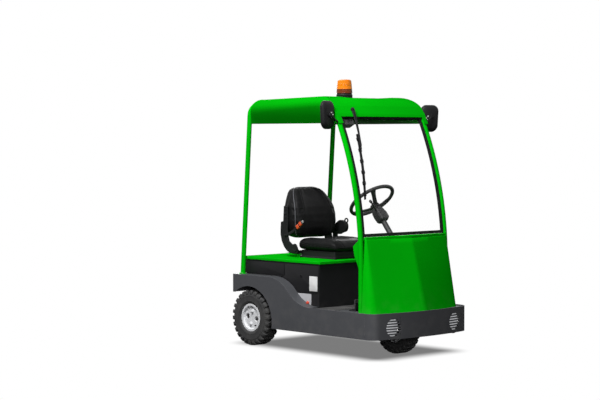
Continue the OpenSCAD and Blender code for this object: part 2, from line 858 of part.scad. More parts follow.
// Rear axle and motor

module rear_axle() {
  tube_r = 38;
  hub_in = rear_track_half - 40 - run_gap;
  color(near_black) {
    translate([x_rear, 0, rear_r]) rotate([90, 0, 0]) {
      cylinder(r = tube_r, h = 2 * hub_in, center = true);
      cylinder(r = spindle_r, h = 2 * (rear_track_half + spindle_out), center = true);
    }
    translate([x_rear, 0, rear_r]) sphere(gear_r);
    both_sides() block([x_rear - 40, -rail_y - rail_w / 2, rear_r],
                       [x_rear + 40, -rail_y + rail_w / 2, rail_z]);
  }
}

module drive_motor() {
  color(near_black) translate([x_rear + gear_r + seat_gap - motor_in, 0, rear_r]) rotate([0, 90, 0])
    difference() {
      cylinder(r = motor_r, h = motor_l);
      translate([0, 0, motor_in - gear_r]) sphere(gear_r + seat_gap);
    }
}

// Steering wheel

module steering_wheel() {
  ring_r = wheel_d / 2 - rim_r;
  boss_r = 38;
  boss_h = 36;
  spoke_w = 30;
  first_spoke = 85;
  color(black) translate(wheel_c) rotate([0, -column_lean, 0]) {
    rotate_extrude($fn = 96) translate([ring_r, 0]) circle(rim_r, $fn = 32);
    translate([0, 0, -wheel_dish - hub_foot]) cylinder(r = boss_r, h = boss_h);
    for (i = [0:2]) rotate([0, 0, first_spoke + 120 * i]) rotate([90, 0, 0])
      linear_extrude(spoke_w, center = true)
        polygon([[20, -wheel_dish], [20, -wheel_dish + 16], [ring_r - 4, 5], [ring_r, -5]]);
  }
}

// Front fork and wheel

module front_fork() {
  leg_w = 70;
  color(near_black) translate([x_front, 0, 0]) {
    translate([0, 0, crown_z]) cylinder(r = crown_r, h = crown_t);
    both_sides() translate([0, -leg_y, front_r]) rotate([90, 0, 0]) {
      cylinder(r = leg_w / 2, h = leg_t);
      translate([-leg_w / 2, 0, 0]) cube([leg_w, crown_z + crown_t - front_r, leg_t]);
    }
    translate([0, 0, crown_z]) cylinder(r = stem_r, h = crown_t + seat_gap + drum_top_t + bearing_h + 20);
    translate([0, 0, front_r]) rotate([90, 0, 0])
      cylinder(r = axle_r, h = 2 * (leg_y + leg_t) + 16, center = true);
  }
}

module front_rim() {
  w = front_tyre_w / 2 - 8;
  r = bead_d / 2;
  color(white) translate([x_front, 0, front_r]) turned()
    polygon([[axle_r + run_gap, -leg_y + run_gap], [hub_r, -leg_y + run_gap], [hub_r, -6], [r - 6, -6],
             [r - 6, -w], [r + 14, -w], [r + 14, -w + 5], [r, -w + 5], [r, w - 5], [r + 14, w - 5],
             [r + 14, w], [r - 6, w], [r - 6, 6], [hub_r, 6], [hub_r, leg_y - run_gap],
             [axle_r + run_gap, leg_y - run_gap]]);
}

// Tyre with block lugs round both shoulders
module tyre(d, w) {
  r = d / 2;
  bead = bead_d / 2 + 0.3;
  flange_w = w / 2 - 8 - 5 - 0.3;
  belt_r = r - lug_h;
  turned() polygon([
    [bead, -flange_w], [bead + 14, -flange_w], [bead + 15, -w / 2 + 6], [bead + 40, -w / 2],
    [belt_r - 22, -w / 2], [belt_r, -w / 2 + 16], [belt_r, w / 2 - 16], [belt_r - 22, w / 2],
    [bead + 40, w / 2], [bead + 15, w / 2 - 6], [bead + 14, flange_w], [bead, flange_w]]);
  lug_l = w * 0.42;
  lug_w = PI * d / lug_count * 0.55;
  for (s = [-1, 1], i = [0:lug_count - 1])
    rotate([0, (i + (s + 1) / 4) * 360 / lug_count, 0])
      translate([0, s * (w / 2 - 1), 0]) rotate([90, 0, 90]) translate([0, 0, -lug_w / 2])
        linear_extrude(lug_w)
          polygon([[0, belt_r - 26], [0, r - 16], [-s * 10, r], [-s * lug_l, r], [-s * lug_l, belt_r - 4]]);
}

module front_tyre() {
  color(black) translate([x_front, 0, front_r]) tyre(front_tyre_d, front_tyre_w);
}

// Dished steel wheel with two hand holes
module rear_rim() {
  w = rear_tyre_w / 2 - 8;
  r = bead_d / 2;
  disc1 = w - 16;
  disc0 = disc1 - 8;
  hole_r = 21;
  hole_at = 55;
  hole_turn = 9.5;
  difference() {
    turned() polygon([
      [0, -disc0], [0, -disc1], [r - 10, -disc1], [r - 6, -disc1 - 6], [r - 6, -w], [r + 14, -w],
      [r + 14, -w + 5], [r, -w + 5], [r, w - 5], [r + 14, w - 5], [r + 14, w], [r - 6, w],
      [r - 6, -disc0 + 4], [hub_r, -disc0], [hub_r, 40], [spindle_r + run_gap, 40],
      [spindle_r + run_gap, -disc0]]);
    rotate([0, hole_turn, 0]) for (s = [-1, 1]) translate([s * hole_at, 0, 0]) rotate([90, 0, 0])
      cylinder(r = hole_r, h = disc1 + 20);
  }
}

module rear_rim_right() {
  color(white) translate([x_rear, -rear_track_half, rear_r]) rear_rim();
}

module rear_rim_left() {
  color(white) left_side() translate([x_rear, -rear_track_half, rear_r]) rear_rim();
}

module rear_tyre_right() {
  color(black) translate([x_rear, -rear_track_half, rear_r]) tyre(rear_tyre_d, rear_tyre_w);
}

module rear_tyre_left() {
  color(black) left_side() translate([x_rear, -rear_track_half, rear_r]) tyre(rear_tyre_d, rear_tyre_w);
}

// Deck and seat

module seat_deck() {
  x0 = x_back + 8;
  x1 = box_x1 + box_gap;
  color(green) {
    difference() {
      block([x0, -deck_half_w, deck_z - deck_rim], [x1, deck_half_w, deck_z]);
      block([x0 - 1, sheet_t - deck_half_w, deck_z - deck_rim - 1],
            [x1 - sheet_t, deck_half_w - sheet_t, deck_z - sheet_t]);
    }
    both_sides() deck_knuckle();
  }
}

// Sleeve that turns on the hinge's pin
module deck_knuckle() {
  half = knuckle_l / 2;
  translate([hinge_x, -hinge_y, hinge_z]) difference() {
    union() {
      rotate([90, 0, 0]) cylinder(r = knuckle_r, h = knuckle_l, center = true);
      block([-knuckle_r, -half, 0], [knuckle_r, half, deck_rim - sheet_t + 1]);
    }
    rotate([90, 0, 0]) cylinder(r = pin_r + run_gap, h = knuckle_l + 2, center = true);
  }
}

module seat_base() {
  color(near_black) block([seat_x + pan_in, -base_half_w, seat_z],
                          [seat_x + pan_in + pan_l, base_half_w, seat_z + pan_h]);
}

module seat_cushion() {
  z0 = seat_z + pan_h + seat_gap;
  color(near_black) translate([seat_x - 10 + cushion_l / 2, 0, z0]) linear_extrude(cushion_h)
    rounded(cushion_l, seat_w, 70);
}

// Backrest: one block cut to its side outline and to its front outline, both in shares of its sizes
module seat_back() {
  front = -20;
  half = [[0, 0.649], [0.019, 0.757], [0.081, 0.921], [0.196, 0.979], [0.315, 1], [0.446, 0.992],
          [0.606, 0.958], [0.792, 0.837], [0.912, 0.745], [0.971, 0.649], [1, 0.502]];
  side = [[0.092, 0], [0.023, 0.136], [0, 0.279], [0.035, 0.506], [0.069, 0.606], [0.266, 0.752],
          [0.416, 0.845], [0.538, 0.912], [0.642, 0.986], [0.751, 1], [0.925, 0.993], [1, 0.912],
          [0.879, 0.606], [0.902, 0.315], [0.844, 0]];
  color(near_black) translate([seat_x + front, 0, seat_z + back_foot]) intersection() {
    side_profile(-back_half_w, back_half_w) polygon([for (p = side) [-p[0] * back_d, p[1] * back_h]]);
    translate([-2 * back_d, 0, 0]) rotate([90, 0, 90]) linear_extrude(3 * back_d) polygon(concat(
      [for (p = half) [p[1] * back_half_w, p[0] * back_h]],
      backward([for (p = half) [-p[1] * back_half_w, p[0] * back_h]])));
  }
}

// Curved arm beside the backrest, with a plate above it and a foot against the seat's base
module seat_bracket() {
  y1 = -back_half_w - seat_gap;
  arm = [[-0.559, 1], [-0.576, 0.809], [-0.576, 0.639], [-0.524, 0.444], [-0.431, 0.292], [-0.316, 0.181],
         [-0.201, 0.125], [0.035, 0.104], [0.139, 0.118], [0.153, 0.208], [0.125, 0.292], [0.035, 0.333],
         [-0.104, 0.375], [-0.219, 0.455], [-0.264, 0.601], [-0.285, 0.792], [-0.267, 1], [-0.272, 1.46],
         [-0.435, 1.46], [-0.462, 1.02]];
  translate([seat_x, 0, seat_z]) {
    side_profile(y1 - bracket_t, y1) polygon(arm * bracket_h);
    block([-30, y1 - 1, 32], [40, -base_half_w - seat_gap, 58]);
  }
}

module seat_brackets() {
  color(near_black) both_sides() seat_bracket();
}

module belt_buckle() {
  y1 = -seat_w / 2 - 6;
  color("orangered") block([seat_x + buckle_fwd, y1 - buckle_t, seat_z],
                           [seat_x + buckle_fwd + buckle_w, y1, seat_z + buckle_h]);
}

// Case on a post, with the belt's tongue above it
module belt_retractor() {
  y0 = back_half_w + bracket_t + 2;
  case = [[-0.224, 0.752], [-0.14, 0.615], [0.07, 0.598], [0.21, 0.615], [0.329, 0.717], [0.301, 0.874],
          [0.14, 0.951], [-0.035, 0.916], [-0.157, 0.839]];
  color(black) translate([seat_x, 0, seat_z]) {
    side_profile(y0, y0 + post_w) polygon(case * belt_h);
    block([0, y0, 0], [post_w, y0 + post_w / 2, belt_h * 0.66]);
    block([belt_h * 0.217, y0 + post_w / 3, belt_h * 0.84], [belt_h * 0.28, y0 + post_w * 2 / 3, belt_h]);
  }
}

frame_rails();
cross_members();
side_skirt_right();
side_skirt_left();
front_bumper();
rear_plate();
floor_plate();
wheel_housing();
battery_box();
battery_pack();
cowl();
dashboard();
front_pillar_right();
front_pillar_left();
rear_hoop();
roof();
windscreen();
windscreen_seal();
wiper_arm();
wiper_blade();
wiper_motor();
mirror_arms();
mirror_head_right();
mirror_head_left();
beacon_base();
beacon_lens();
steering_column();
pedals();
headlamps();
tail_lamps();
tow_hitch();
rear_axle();
drive_motor();
steering_wheel();
front_fork();
front_rim();
front_tyre();
rear_rim_right();
rear_tyre_right();
rear_rim_left();
rear_tyre_left();
seat_deck();
seat_base();
seat_cushion();
seat_back();
seat_brackets();
belt_buckle();
belt_retractor();
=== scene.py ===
import json
import math

import bmesh
import bpy
from mathutils import Matrix, Vector
from mathutils.bvhtree import BVHTree


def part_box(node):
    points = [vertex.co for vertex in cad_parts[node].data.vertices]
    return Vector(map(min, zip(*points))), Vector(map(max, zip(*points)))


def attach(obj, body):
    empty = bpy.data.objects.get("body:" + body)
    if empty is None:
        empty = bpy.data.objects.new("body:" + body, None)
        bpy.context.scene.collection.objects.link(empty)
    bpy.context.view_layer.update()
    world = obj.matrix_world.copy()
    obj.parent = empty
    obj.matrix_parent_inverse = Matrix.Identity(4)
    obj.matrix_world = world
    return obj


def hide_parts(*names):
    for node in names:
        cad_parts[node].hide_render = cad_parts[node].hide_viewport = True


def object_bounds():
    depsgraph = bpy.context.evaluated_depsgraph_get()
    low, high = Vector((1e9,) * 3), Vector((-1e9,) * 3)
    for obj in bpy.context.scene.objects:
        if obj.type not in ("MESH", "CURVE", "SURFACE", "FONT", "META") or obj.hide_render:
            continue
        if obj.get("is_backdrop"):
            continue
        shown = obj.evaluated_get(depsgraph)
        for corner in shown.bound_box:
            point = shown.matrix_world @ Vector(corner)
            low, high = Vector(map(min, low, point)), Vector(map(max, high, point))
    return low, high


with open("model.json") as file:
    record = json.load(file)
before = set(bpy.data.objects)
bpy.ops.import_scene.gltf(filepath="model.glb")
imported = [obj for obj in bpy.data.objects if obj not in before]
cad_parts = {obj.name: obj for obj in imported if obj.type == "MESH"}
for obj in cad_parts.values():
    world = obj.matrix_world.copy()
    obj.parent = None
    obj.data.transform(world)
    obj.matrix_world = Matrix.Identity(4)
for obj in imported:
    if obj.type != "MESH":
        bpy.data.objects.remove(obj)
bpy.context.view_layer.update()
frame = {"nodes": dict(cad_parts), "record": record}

# Frame rails and cross members
# Square steel tubes welded into a ladder under the floor. The satin black powder coat is baked on
# after welding, so its film is thick in the corners and thin on the edges, where it rubs off.


class Wire:
    """A shader socket that can stand in a sum."""

    def __init__(self, socket):
        self.socket = socket

    def node(self, kind, settings, inputs, out=0):
        tree = self.socket.id_data
        made = tree.nodes.new(kind)
        for name, value in settings.items():
            setattr(made, name, value)
        for name, value in inputs.items():
            if isinstance(value, Wire):
                tree.links.new(value.socket, made.inputs[name])
            else:
                made.inputs[name].default_value = value
        return Wire(made.outputs[out])

    def sum(self, how, first, second):
        return self.node("ShaderNodeMath", {"operation": how}, {0: first, 1: second})

    def __add__(self, other):
        return self.sum("ADD", self, other)

    def __radd__(self, other):
        return self.sum("ADD", other, self)

    def __sub__(self, other):
        return self.sum("SUBTRACT", self, other)

    def __rsub__(self, other):
        return self.sum("SUBTRACT", other, self)

    def __mul__(self, other):
        return self.sum("MULTIPLY", self, other)

    def __rmul__(self, other):
        return self.sum("MULTIPLY", other, self)


def surface(name):
    """A new material: itself, its shader, and the point of the piece at rest."""
    made = bpy.data.materials.new(name)
    made.use_nodes = True
    nodes = made.node_tree.nodes
    return made, nodes["Principled BSDF"], Wire(nodes.new("ShaderNodeTexCoord").outputs["Object"])


def feed(shader, inputs):
    for name, value in inputs.items():
        if isinstance(value, Wire):
            shader.id_data.links.new(value.socket, shader.inputs[name])
        else:
            shader.inputs[name].default_value = value


def noise(here, scale, detail):
    return here.node("ShaderNodeTexNoise", {}, {"Vector": here, "Scale": scale, "Detail": detail})


def cells(here, scale, out="Distance"):
    return here.node("ShaderNodeTexVoronoi", {}, {"Vector": here, "Scale": scale}, out)


def ease(value, low, high):
    return value.node(
        "ShaderNodeMapRange",
        {"interpolation_type": "SMOOTHSTEP"},
        {"Value": value, "From Min": low, "From Max": high},
    )


def tint(share, first, second):
    return share.node("ShaderNodeMix", {"data_type": "RGBA"}, {0: share, 6: first, 7: second}, 2)


def bump(height, depth, strength):
    return height.node("ShaderNodeBump", {}, {"Height": height, "Distance": depth, "Strength": strength})


def axis(here, which):
    return here.node("ShaderNodeSeparateXYZ", {}, {0: here}, which)


def rounded_edge(here):
    """Where a piece's edges were rounded, so that its finish wears there first."""
    return here.node("ShaderNodeAttribute", {"attribute_name": "edge"}, {}, "Fac")


def shade(colour, gain=1.0):
    return tuple(min(1.0, gain * c) for c in colour) + (1.0,)


FLOOR_DUST = (0.30, 0.28, 0.25, 1.0)


def powder_coat(name, colour, rough, gloss, grain, rubbed):
    """Baked paint: a little uneven, with orange peel, rubbed edges and dust low down."""
    made, shader, here = surface(name)
    cloud = noise(here, 3.0, 3.0)
    rub = rounded_edge(here) * ease(noise(here, 40.0, 4.0), 0.42, 0.66)
    dust = (1 - ease(axis(here, 2), 0.1, 0.6)) * ease(noise(here, 11.0, 6.0), 0.4, 0.8)
    paint = tint(cloud, shade(colour, 0.9), shade(colour, 1.08))
    paint = tint(rub * 0.5, paint, rubbed)
    feed(shader, {
        "Base Color": tint(dust * 0.1, paint, FLOOR_DUST),
        "Roughness": cloud * 0.12 + dust * 0.15 + (rough - 0.06),
        "Normal": bump(noise(here, grain, 2.0), 0.0006, 0.16),
        "Specular IOR Level": gloss,
    })
    return made


body_of = {n: b for b, nodes in frame["record"]["behaviour"]["bodies"].items() for n in nodes}


def put(name, bm, finish, body, crease=32.0):
    """The piece is in place: its mesh gets its finish and rides on its body."""
    bmesh.ops.recalc_face_normals(bm, faces=bm.faces)
    mesh = bpy.data.meshes.new(name)
    bm.to_mesh(mesh)
    bm.free()
    mesh.shade_smooth()
    mesh.set_sharp_from_angle(angle=math.radians(crease))
    mesh.materials.append(finish)
    piece = bpy.data.objects.new(name, mesh)
    bpy.context.scene.collection.objects.link(piece)
    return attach(piece, body) or piece


def softened(node, finish, radius=0.0015, steps=2):
    """A node's own shape with its sharp edges rounded, in place of the node."""
    bm = bmesh.new()
    bm.from_mesh(frame["nodes"][node].data)
    bmesh.ops.remove_doubles(bm, verts=bm.verts, dist=2e-5)
    bmesh.ops.dissolve_limit(bm, angle_limit=math.radians(0.3), verts=bm.verts, edges=bm.edges)
    mark = bm.faces.layers.float.new("edge")
    sharp = [e for e in bm.edges if len(e.link_faces) == 2 and e.calc_face_angle() > math.radians(30)]
    rounded = bmesh.ops.bevel(
        bm, geom=sharp, offset=radius, offset_type="OFFSET", segments=steps, profile=0.5, affect="EDGES")
    for face in rounded["faces"]:
        face[mark] = 1.0
    piece = put(node + "_skin", bm, finish, body_of[node])
    piece.modifiers.new("even_shading", "WEIGHTED_NORMAL").keep_sharp = True
    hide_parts(node)
    return piece


BARE_STEEL = (0.32, 0.32, 0.33, 1.0)
black_coat = powder_coat("black_powder_coat", (0.014, 0.014, 0.016), 0.45, 0.2, 420.0, BARE_STEEL)
for node in ("frame_rails", "cross_members"):
    softened(node, black_coat, 0.003)

# Rear axle, motor and tow jaw
# The gear case and its tubes are rough iron castings, and the traction motor is bolted to them.
# The jaw is cut from plate and welded, and takes the eye of a trailer's drawbar between its two leaves.


def casting(name, colour):
    made, shader, here = surface(name)
    sand = noise(here, 260.0, 4.0)
    oil = ease(noise(here, 7.0, 5.0), 0.5, 0.75)
    feed(shader, {
        "Base Color": tint(oil * 0.6, shade(colour), shade(colour, 0.45)),
        "Roughness": sand * 0.25 - oil * 0.2 + 0.5,
        "Metallic": 0.3,
        "Normal": bump(sand * 0.6 + noise(here, 22.0, 3.0) * 0.6, 0.0012, 0.5),
    })
    return made


rough_iron = casting("rough_iron", (0.07, 0.068, 0.066))
for node in ("rear_axle", "drive_motor"):
    softened(node, rough_iron, 0.002)
softened("tow_hitch", black_coat, 0.002)


def band(bm, rings, closed=True, caps=True):
    """Skins a row of rings with quads, and closes its two ends."""
    rows = [[bm.verts.new(p) for p in ring] for ring in rings]
    count = len(rows[0])
    for row, following in zip(rows, rows[1:]):
        for i in range(count if closed else count - 1):
            j = (i + 1) % count
            bm.faces.new((row[i], row[j], following[j], following[i]))
    if caps:
        bm.faces.new(rows[0][::-1])
        bm.faces.new(rows[-1])


def turned(bm, profile, place, steps=64, caps=True):
    """A profile of radius and height, spun round the place's own Z axis."""
    turns = [2 * math.pi * i / steps for i in range(steps)]
    rings = [[place @ Vector((r * math.cos(a), r * math.sin(a), h)) for a in turns] for r, h in profile]
    band(bm, rings, True, caps)


def shift(x, y, z):
    return Matrix.Translation((x, y, z))


def on_circle(radius, angle, height=0.0):
    """A place on a circle of bolts or nuts."""
    return shift(radius * math.cos(angle), radius * math.sin(angle), height)


def facing(at, normal, up=(0, 0, 1)):
    """A place at a point, with its Z axis along a normal and its Y axis near up."""
    z = Vector(normal).normalized()
    x = Vector(up).cross(z).normalized()
    turn = Matrix((x, z.cross(x), z)).transposed().to_4x4()
    return Matrix.Translation(at) @ turn


def drawn_in(outline, by):
    """A counter-clockwise outline, offset inwards."""
    count, out = len(outline), []
    for i, (u, v) in enumerate(outline):
        a, b = outline[i - 1], outline[(i + 1) % count]
        along = Vector((b[0] - a[0], b[1] - a[1])).normalized()
        out.append((u - along.y * by, v + along.x * by))
    return out


def plate(bm, outline, depth, place, edge):
    """A flat piece of an outline with its outer rim rounded."""
    rings = [(outline, 0.0), (outline, depth - edge), (drawn_in(outline, 0.3 * edge), depth - 0.3 * edge),
             (drawn_in(outline, edge), depth)]
    band(bm, [[place @ Vector((u, v, h)) for u, v in line] for line, h in rings])


def rounded(width, height, radius, steps=6):
    """A counter-clockwise rectangle with round corners."""
    out = []
    for k, (su, sv) in enumerate(((1, 1), (-1, 1), (-1, -1), (1, -1))):
        for i in range(steps + 1):
            a = math.pi / 2 * (k + i / steps)
            out.append((su * (width / 2 - radius) + radius * math.cos(a),
                        sv * (height / 2 - radius) + radius * math.sin(a)))
    return out


def hexagon(radius):
    return [(radius * math.cos(math.pi / 3 * i), radius * math.sin(math.pi / 3 * i)) for i in range(6)]


def bolt(bm, place, size):
    """A hexagon head on its washer."""
    turned(bm, [(size, 0.0), (size, 0.14 * size), (0.94 * size, 0.2 * size)], place, 24)
    plate(bm, hexagon(0.82 * size), 0.55 * size, place @ shift(0, 0, 0.18 * size), 0.08 * size)


def zinc(name):
    made, shader, here = surface(name)
    mottle = noise(here, 90.0, 3.0)
    feed(shader, {
        "Base Color": tint(mottle, (0.42, 0.42, 0.42, 1.0), (0.62, 0.61, 0.58, 1.0)),
        "Roughness": mottle * 0.25 + 0.25,
        "Metallic": 1.0,
    })
    return made


zinc_steel = zinc("zinc_plated_steel")
JAW_FACE_X, JAW_BOLTS = -0.812, ((-0.062, 0.272), (0.062, 0.272), (-0.062, 0.418), (0.062, 0.418))
bm = bmesh.new()
for y, z in JAW_BOLTS:
    bolt(bm, facing((JAW_FACE_X, y, z), (-1, 0, 0)), 0.012)
put("tow_jaw_bolts", bm, zinc_steel, "chassis")

# Rear wheels
# Pneumatic industrial tyres with block lugs on both shoulders, on two-piece pressed steel wheels
# stoved in white enamel. Nuts hold each wheel to its hub, and two hand holes lighten the disc.


def tyre_rubber(name):
    made, shader, here = surface(name)
    bloom = ease(noise(here, 9.0, 5.0), 0.35, 0.75)
    feed(shader, {
        "Base Color": tint(bloom, (0.020, 0.020, 0.021, 1.0), (0.050, 0.049, 0.048, 1.0)),
        "Roughness": bloom * 0.15 + 0.62,
        "Normal": bump(noise(here, 700.0, 3.0) + cells(here, 160.0) * 0.4, 0.0005, 0.35),
    })
    return made


def enamel(name):
    made, shader, here = surface(name)
    grime = ease(noise(here, 16.0, 6.0), 0.48, 0.85)
    edge = rounded_edge(here)
    feed(shader, {
        "Base Color": tint(grime * 0.25 + edge * 0.06, (0.76, 0.77, 0.79, 1.0), (0.36, 0.34, 0.32, 1.0)),
        "Roughness": grime * 0.3 + 0.25,
        "Normal": bump(noise(here, 300.0, 2.0), 0.0005, 0.12),
        "Coat Weight": 0.4,
        "Coat Roughness": 0.1,
    })
    return made


tyre_black = tyre_rubber("tyre_rubber")
white_enamel = enamel("white_enamel")
BEAD_R, LUG_H, LUGS = 0.1018, 0.011, 26
# Rows of radius past the bead or the belt, and of width past the tyre's half width
BEAD_WALL = ((0.0006, -0.0135), (0.0145, -0.0133), (0.0170, -0.0070), (0.0240, -0.0022), (0.0340, -0.0004),
             (0.0345, 0.0012), (0.0385, 0.0012), (0.0390, 0.0))
BELT_WALL = ((-0.0420, 0.0), (-0.0415, 0.0011), (-0.0385, 0.0011), (-0.0380, -0.0004), (-0.0260, -0.0022),
             (-0.0120, -0.0080), (-0.0035, -0.0165), (0.0, -0.0280))
LUG_TOP = ((-0.026, 0.0002), (-0.012, 0.0006), (0.001, -0.0030), (0.0085, -0.0090), (LUG_H, -0.0170),
           (LUG_H, -0.0340))
LUG_FOOT = ((-0.028, -0.0040), (-0.015, -0.0090), (-0.006, -0.0160), (-0.003, -0.0200), (-0.002, -0.0270),
            (-0.002, -0.0360))
LUG_SKEW = (0.0, 0.0, 0.004, 0.010, 0.020, 0.045, 0.085)


def tyre(node, centre, outward, radius, half_w):
    """A turned carcass with ringed sidewalls, and staggered lugs lofted over its shoulders."""
    belt = radius - LUG_H
    half = [(BEAD_R + r, half_w + h) for r, h in BEAD_WALL] + [(belt + r, half_w + h) for r, h in BELT_WALL]
    half.append((belt + 0.0006, 0.0))
    profile = half + [(r, -h) for r, h in half[-2::-1]] + half[:1]
    place = Matrix.Translation(centre) @ Matrix.Rotation(math.radians(90 * outward), 4, "X")
    bm = bmesh.new()
    turned(bm, profile, place, 144, False)
    bmesh.ops.remove_doubles(bm, verts=bm.verts, dist=1e-6)
    tops = [(belt + r, half_w + h) for r, h in LUG_TOP] + [(radius, 0.0095)]
    feet = [(belt + r, half_w + h) for r, h in LUG_FOOT] + [(belt - 0.002, 0.0080)]
    for side in (1, -1):
        for k in range(LUGS):
            middle = 2 * math.pi * (k + (0.25 if side > 0 else -0.25)) / LUGS
            rings = []
            for (top_r, top_h), (foot_r, foot_h), turn in zip(tops, feet, LUG_SKEW):
                ring = []
                for r, h, reach in ((foot_r, foot_h, -0.0170), (top_r - 0.0018, top_h - 0.0004, -0.0150),
                                    (top_r, top_h, -0.0132), (top_r, top_h, 0.0132),
                                    (top_r - 0.0018, top_h - 0.0004, 0.0150), (foot_r, foot_h, 0.0170)):
                    a = middle + side * turn + reach / radius
                    ring.append(place @ Vector((r * math.cos(a), r * math.sin(a), side * h)))
                rings.append(ring)
            band(bm, rings)
    piece = put(node + "_lugged", bm, tyre_black, body_of[node])
    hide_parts(node)


REAR_X, REAR_R, REAR_Y, REAR_HALF_W = -0.600, 0.230, 0.465, 0.065
DISC_FACE, NUT_CIRCLE, HOLE_CIRCLE, DISC_TURN = 0.041, 0.052, 0.055, math.radians(-9.5)
for side, outward in (("right", 1), ("left", -1)):
    hub = Vector((REAR_X, -outward * REAR_Y, REAR_R))
    tyre("rear_tyre_" + side, hub, outward, REAR_R, REAR_HALF_W)
    softened("rear_rim_" + side, white_enamel, 0.0025, 3)
    place = Matrix.Translation(hub) @ Matrix.Rotation(math.radians(90 * outward), 4, "X")
    wheel_body = "rear_wheel_" + side
    bm = bmesh.new()
    for k in range(2):
        seat = on_circle(NUT_CIRCLE, outward * DISC_TURN + math.pi / 2 + math.pi * k, DISC_FACE)
        turned(bm, [(0.0165, 0.0), (0.0155, 0.0025), (0.0125, 0.004)], place @ seat, 32)
        plate(bm, hexagon(0.0125), 0.011, place @ seat @ shift(0, 0, 0.003), 0.0015)
        turned(bm, [(0.006, 0.0), (0.006, 0.018), (0.0045, 0.0195)], place @ seat, 20)
    put("wheel_nuts_" + side, bm, white_enamel, wheel_body)
    bm = bmesh.new()
    for k in range(2):
        seat = on_circle(HOLE_CIRCLE, outward * DISC_TURN + math.pi * k, 0.012)
        turned(bm, [(0.030, -0.012), (0.030, 0.0), (0.026, 0.003)], place @ seat, 40)
        bolt(bm, place @ seat @ shift(0, 0, 0.003), 0.0135)
    put("hub_studs_" + side, bm, rough_iron, wheel_body)
    seat = on_circle(0.079, math.radians(-52), DISC_FACE - 0.001)
    bm = bmesh.new()
    turned(bm, [(0.0060, 0.0), (0.0060, 0.004), (0.0042, 0.006), (0.0042, 0.016), (0.0036, 0.0175)],
           place @ seat, 20)
    put("valve_stem_" + side, bm, tyre_black, wheel_body)

# Steered front wheel
# A narrower tyre of the same pattern runs in a welded fork, whose stem turns in a bearing on top
# of a round steel house. Fork and house are painted black with the frame.
FRONT_X, FRONT_R, FRONT_HALF_W, BEARING_TOP = 0.580, 0.2075, 0.055, 0.4713
tyre("front_tyre", Vector((FRONT_X, 0, FRONT_R)), 1, FRONT_R, FRONT_HALF_W)
softened("front_rim", white_enamel, 0.002)
softened("front_fork", black_coat, 0.002)
softened("wheel_housing", black_coat, 0.002)
bm = bmesh.new()
for k in range(6):
    bolt(bm, shift(FRONT_X, 0, BEARING_TOP) @ on_circle(0.075, math.pi / 3 * k + math.pi / 6), 0.0095)
put("bearing_bolts", bm, zinc_steel, "chassis")

# Wings, bumper and floor
# Folded and rolled steel plate with a dark grey textured powder coat. The wings sweep down to the
# sills in one piece, the bumper closes the nose, and ribbed rubber matting lies in the footwell.
RUBBED_GREY, REAR_FACE_X = (0.15, 0.15, 0.16, 1.0), -0.798
grey_coat = powder_coat("grey_powder_coat", (0.072, 0.074, 0.081), 0.42, 0.15, 520.0, RUBBED_GREY)
for node in ("side_skirt_right", "side_skirt_left", "front_bumper", "rear_plate", "floor_plate"):
    softened(node, grey_coat, 0.002)
bm = bmesh.new()
for side in (-1, 1):
    for y, z in ((0.505, 0.47), (0.505, 0.555), (0.33, 0.555), (0.33, 0.46)):
        bolt(bm, facing((REAR_FACE_X, side * y, z), (-1, 0, 0)), 0.009)
put("rear_plate_bolts", bm, zinc_steel, "chassis")


def matting(name):
    made, shader, here = surface(name)
    wear = ease(noise(here, 6.0, 5.0), 0.35, 0.7)
    feed(shader, {
        "Base Color": tint(wear, (0.030, 0.030, 0.031, 1.0), (0.075, 0.073, 0.072, 1.0)),
        "Roughness": wear * 0.15 + 0.66,
        "Normal": bump(noise(here, 500.0, 3.0), 0.0004, 0.3),
    })
    return made


mat_rubber = matting("mat_rubber")
MAT_Z, MAT_X0, MAT_X1, MAT_HALF_W, MAT_RIBS = 0.3572, 0.160, 0.372, 0.500, 40
MAT_X = (MAT_X0 + MAT_X1) / 2
bm = bmesh.new()
plate(bm, rounded(MAT_X1 - MAT_X0, 2 * MAT_HALF_W, 0.012), 0.003, shift(MAT_X, 0, MAT_Z), 0.001)
for i in range(MAT_RIBS):
    y = -MAT_HALF_W + 0.0125 + (2 * MAT_HALF_W - 0.025) * i / (MAT_RIBS - 1)
    plate(bm, rounded(MAT_X1 - MAT_X0 - 0.02, 0.011, 0.004, 3), 0.0022,
          shift(MAT_X, y, MAT_Z + 0.0028), 0.0012)
put("footwell_mat", bm, mat_rubber, "chassis")

# Lamps
# Round headlamps stand in deep cans behind the bumper's slots: a bright pressed reflector, a bulb
# in its cap and a domed glass. The tail lamps are red ribbed mouldings on black backs.


def bright_metal(name, colour, rough):
    made, shader, here = surface(name)
    haze = noise(here, 30.0, 4.0)
    feed(shader, {
        "Base Color": tint(haze, shade(colour, 0.92), shade(colour)),
        "Roughness": haze * 0.06 + rough,
        "Metallic": 1.0,
    })
    return made


def clear_glass(name, veil):
    made, shader, here = surface(name)
    smear = ease(noise(here, 5.0, 5.0), 0.45, 0.8)
    feed(shader, {
        "Base Color": (0.93, 0.96, 0.95, 1.0),
        "Roughness": smear * 0.05 + 0.02,
        "Alpha": smear * 0.004 + veil,
        "Coat Weight": 0.3,
    })
    return made


def lens_plastic(name, colour, rough, glow):
    made, shader, here = surface(name)
    depth = noise(here, 26.0, 3.0)
    feed(shader, {
        "Base Color": tint(depth, shade(colour, 0.82), shade(colour)),
        "Roughness": depth * 0.08 + rough,
        "Specular IOR Level": 0.12,
        "Coat Weight": 0.12,
        "Emission Color": shade(colour),
        "Emission Strength": glow,
    })
    return made


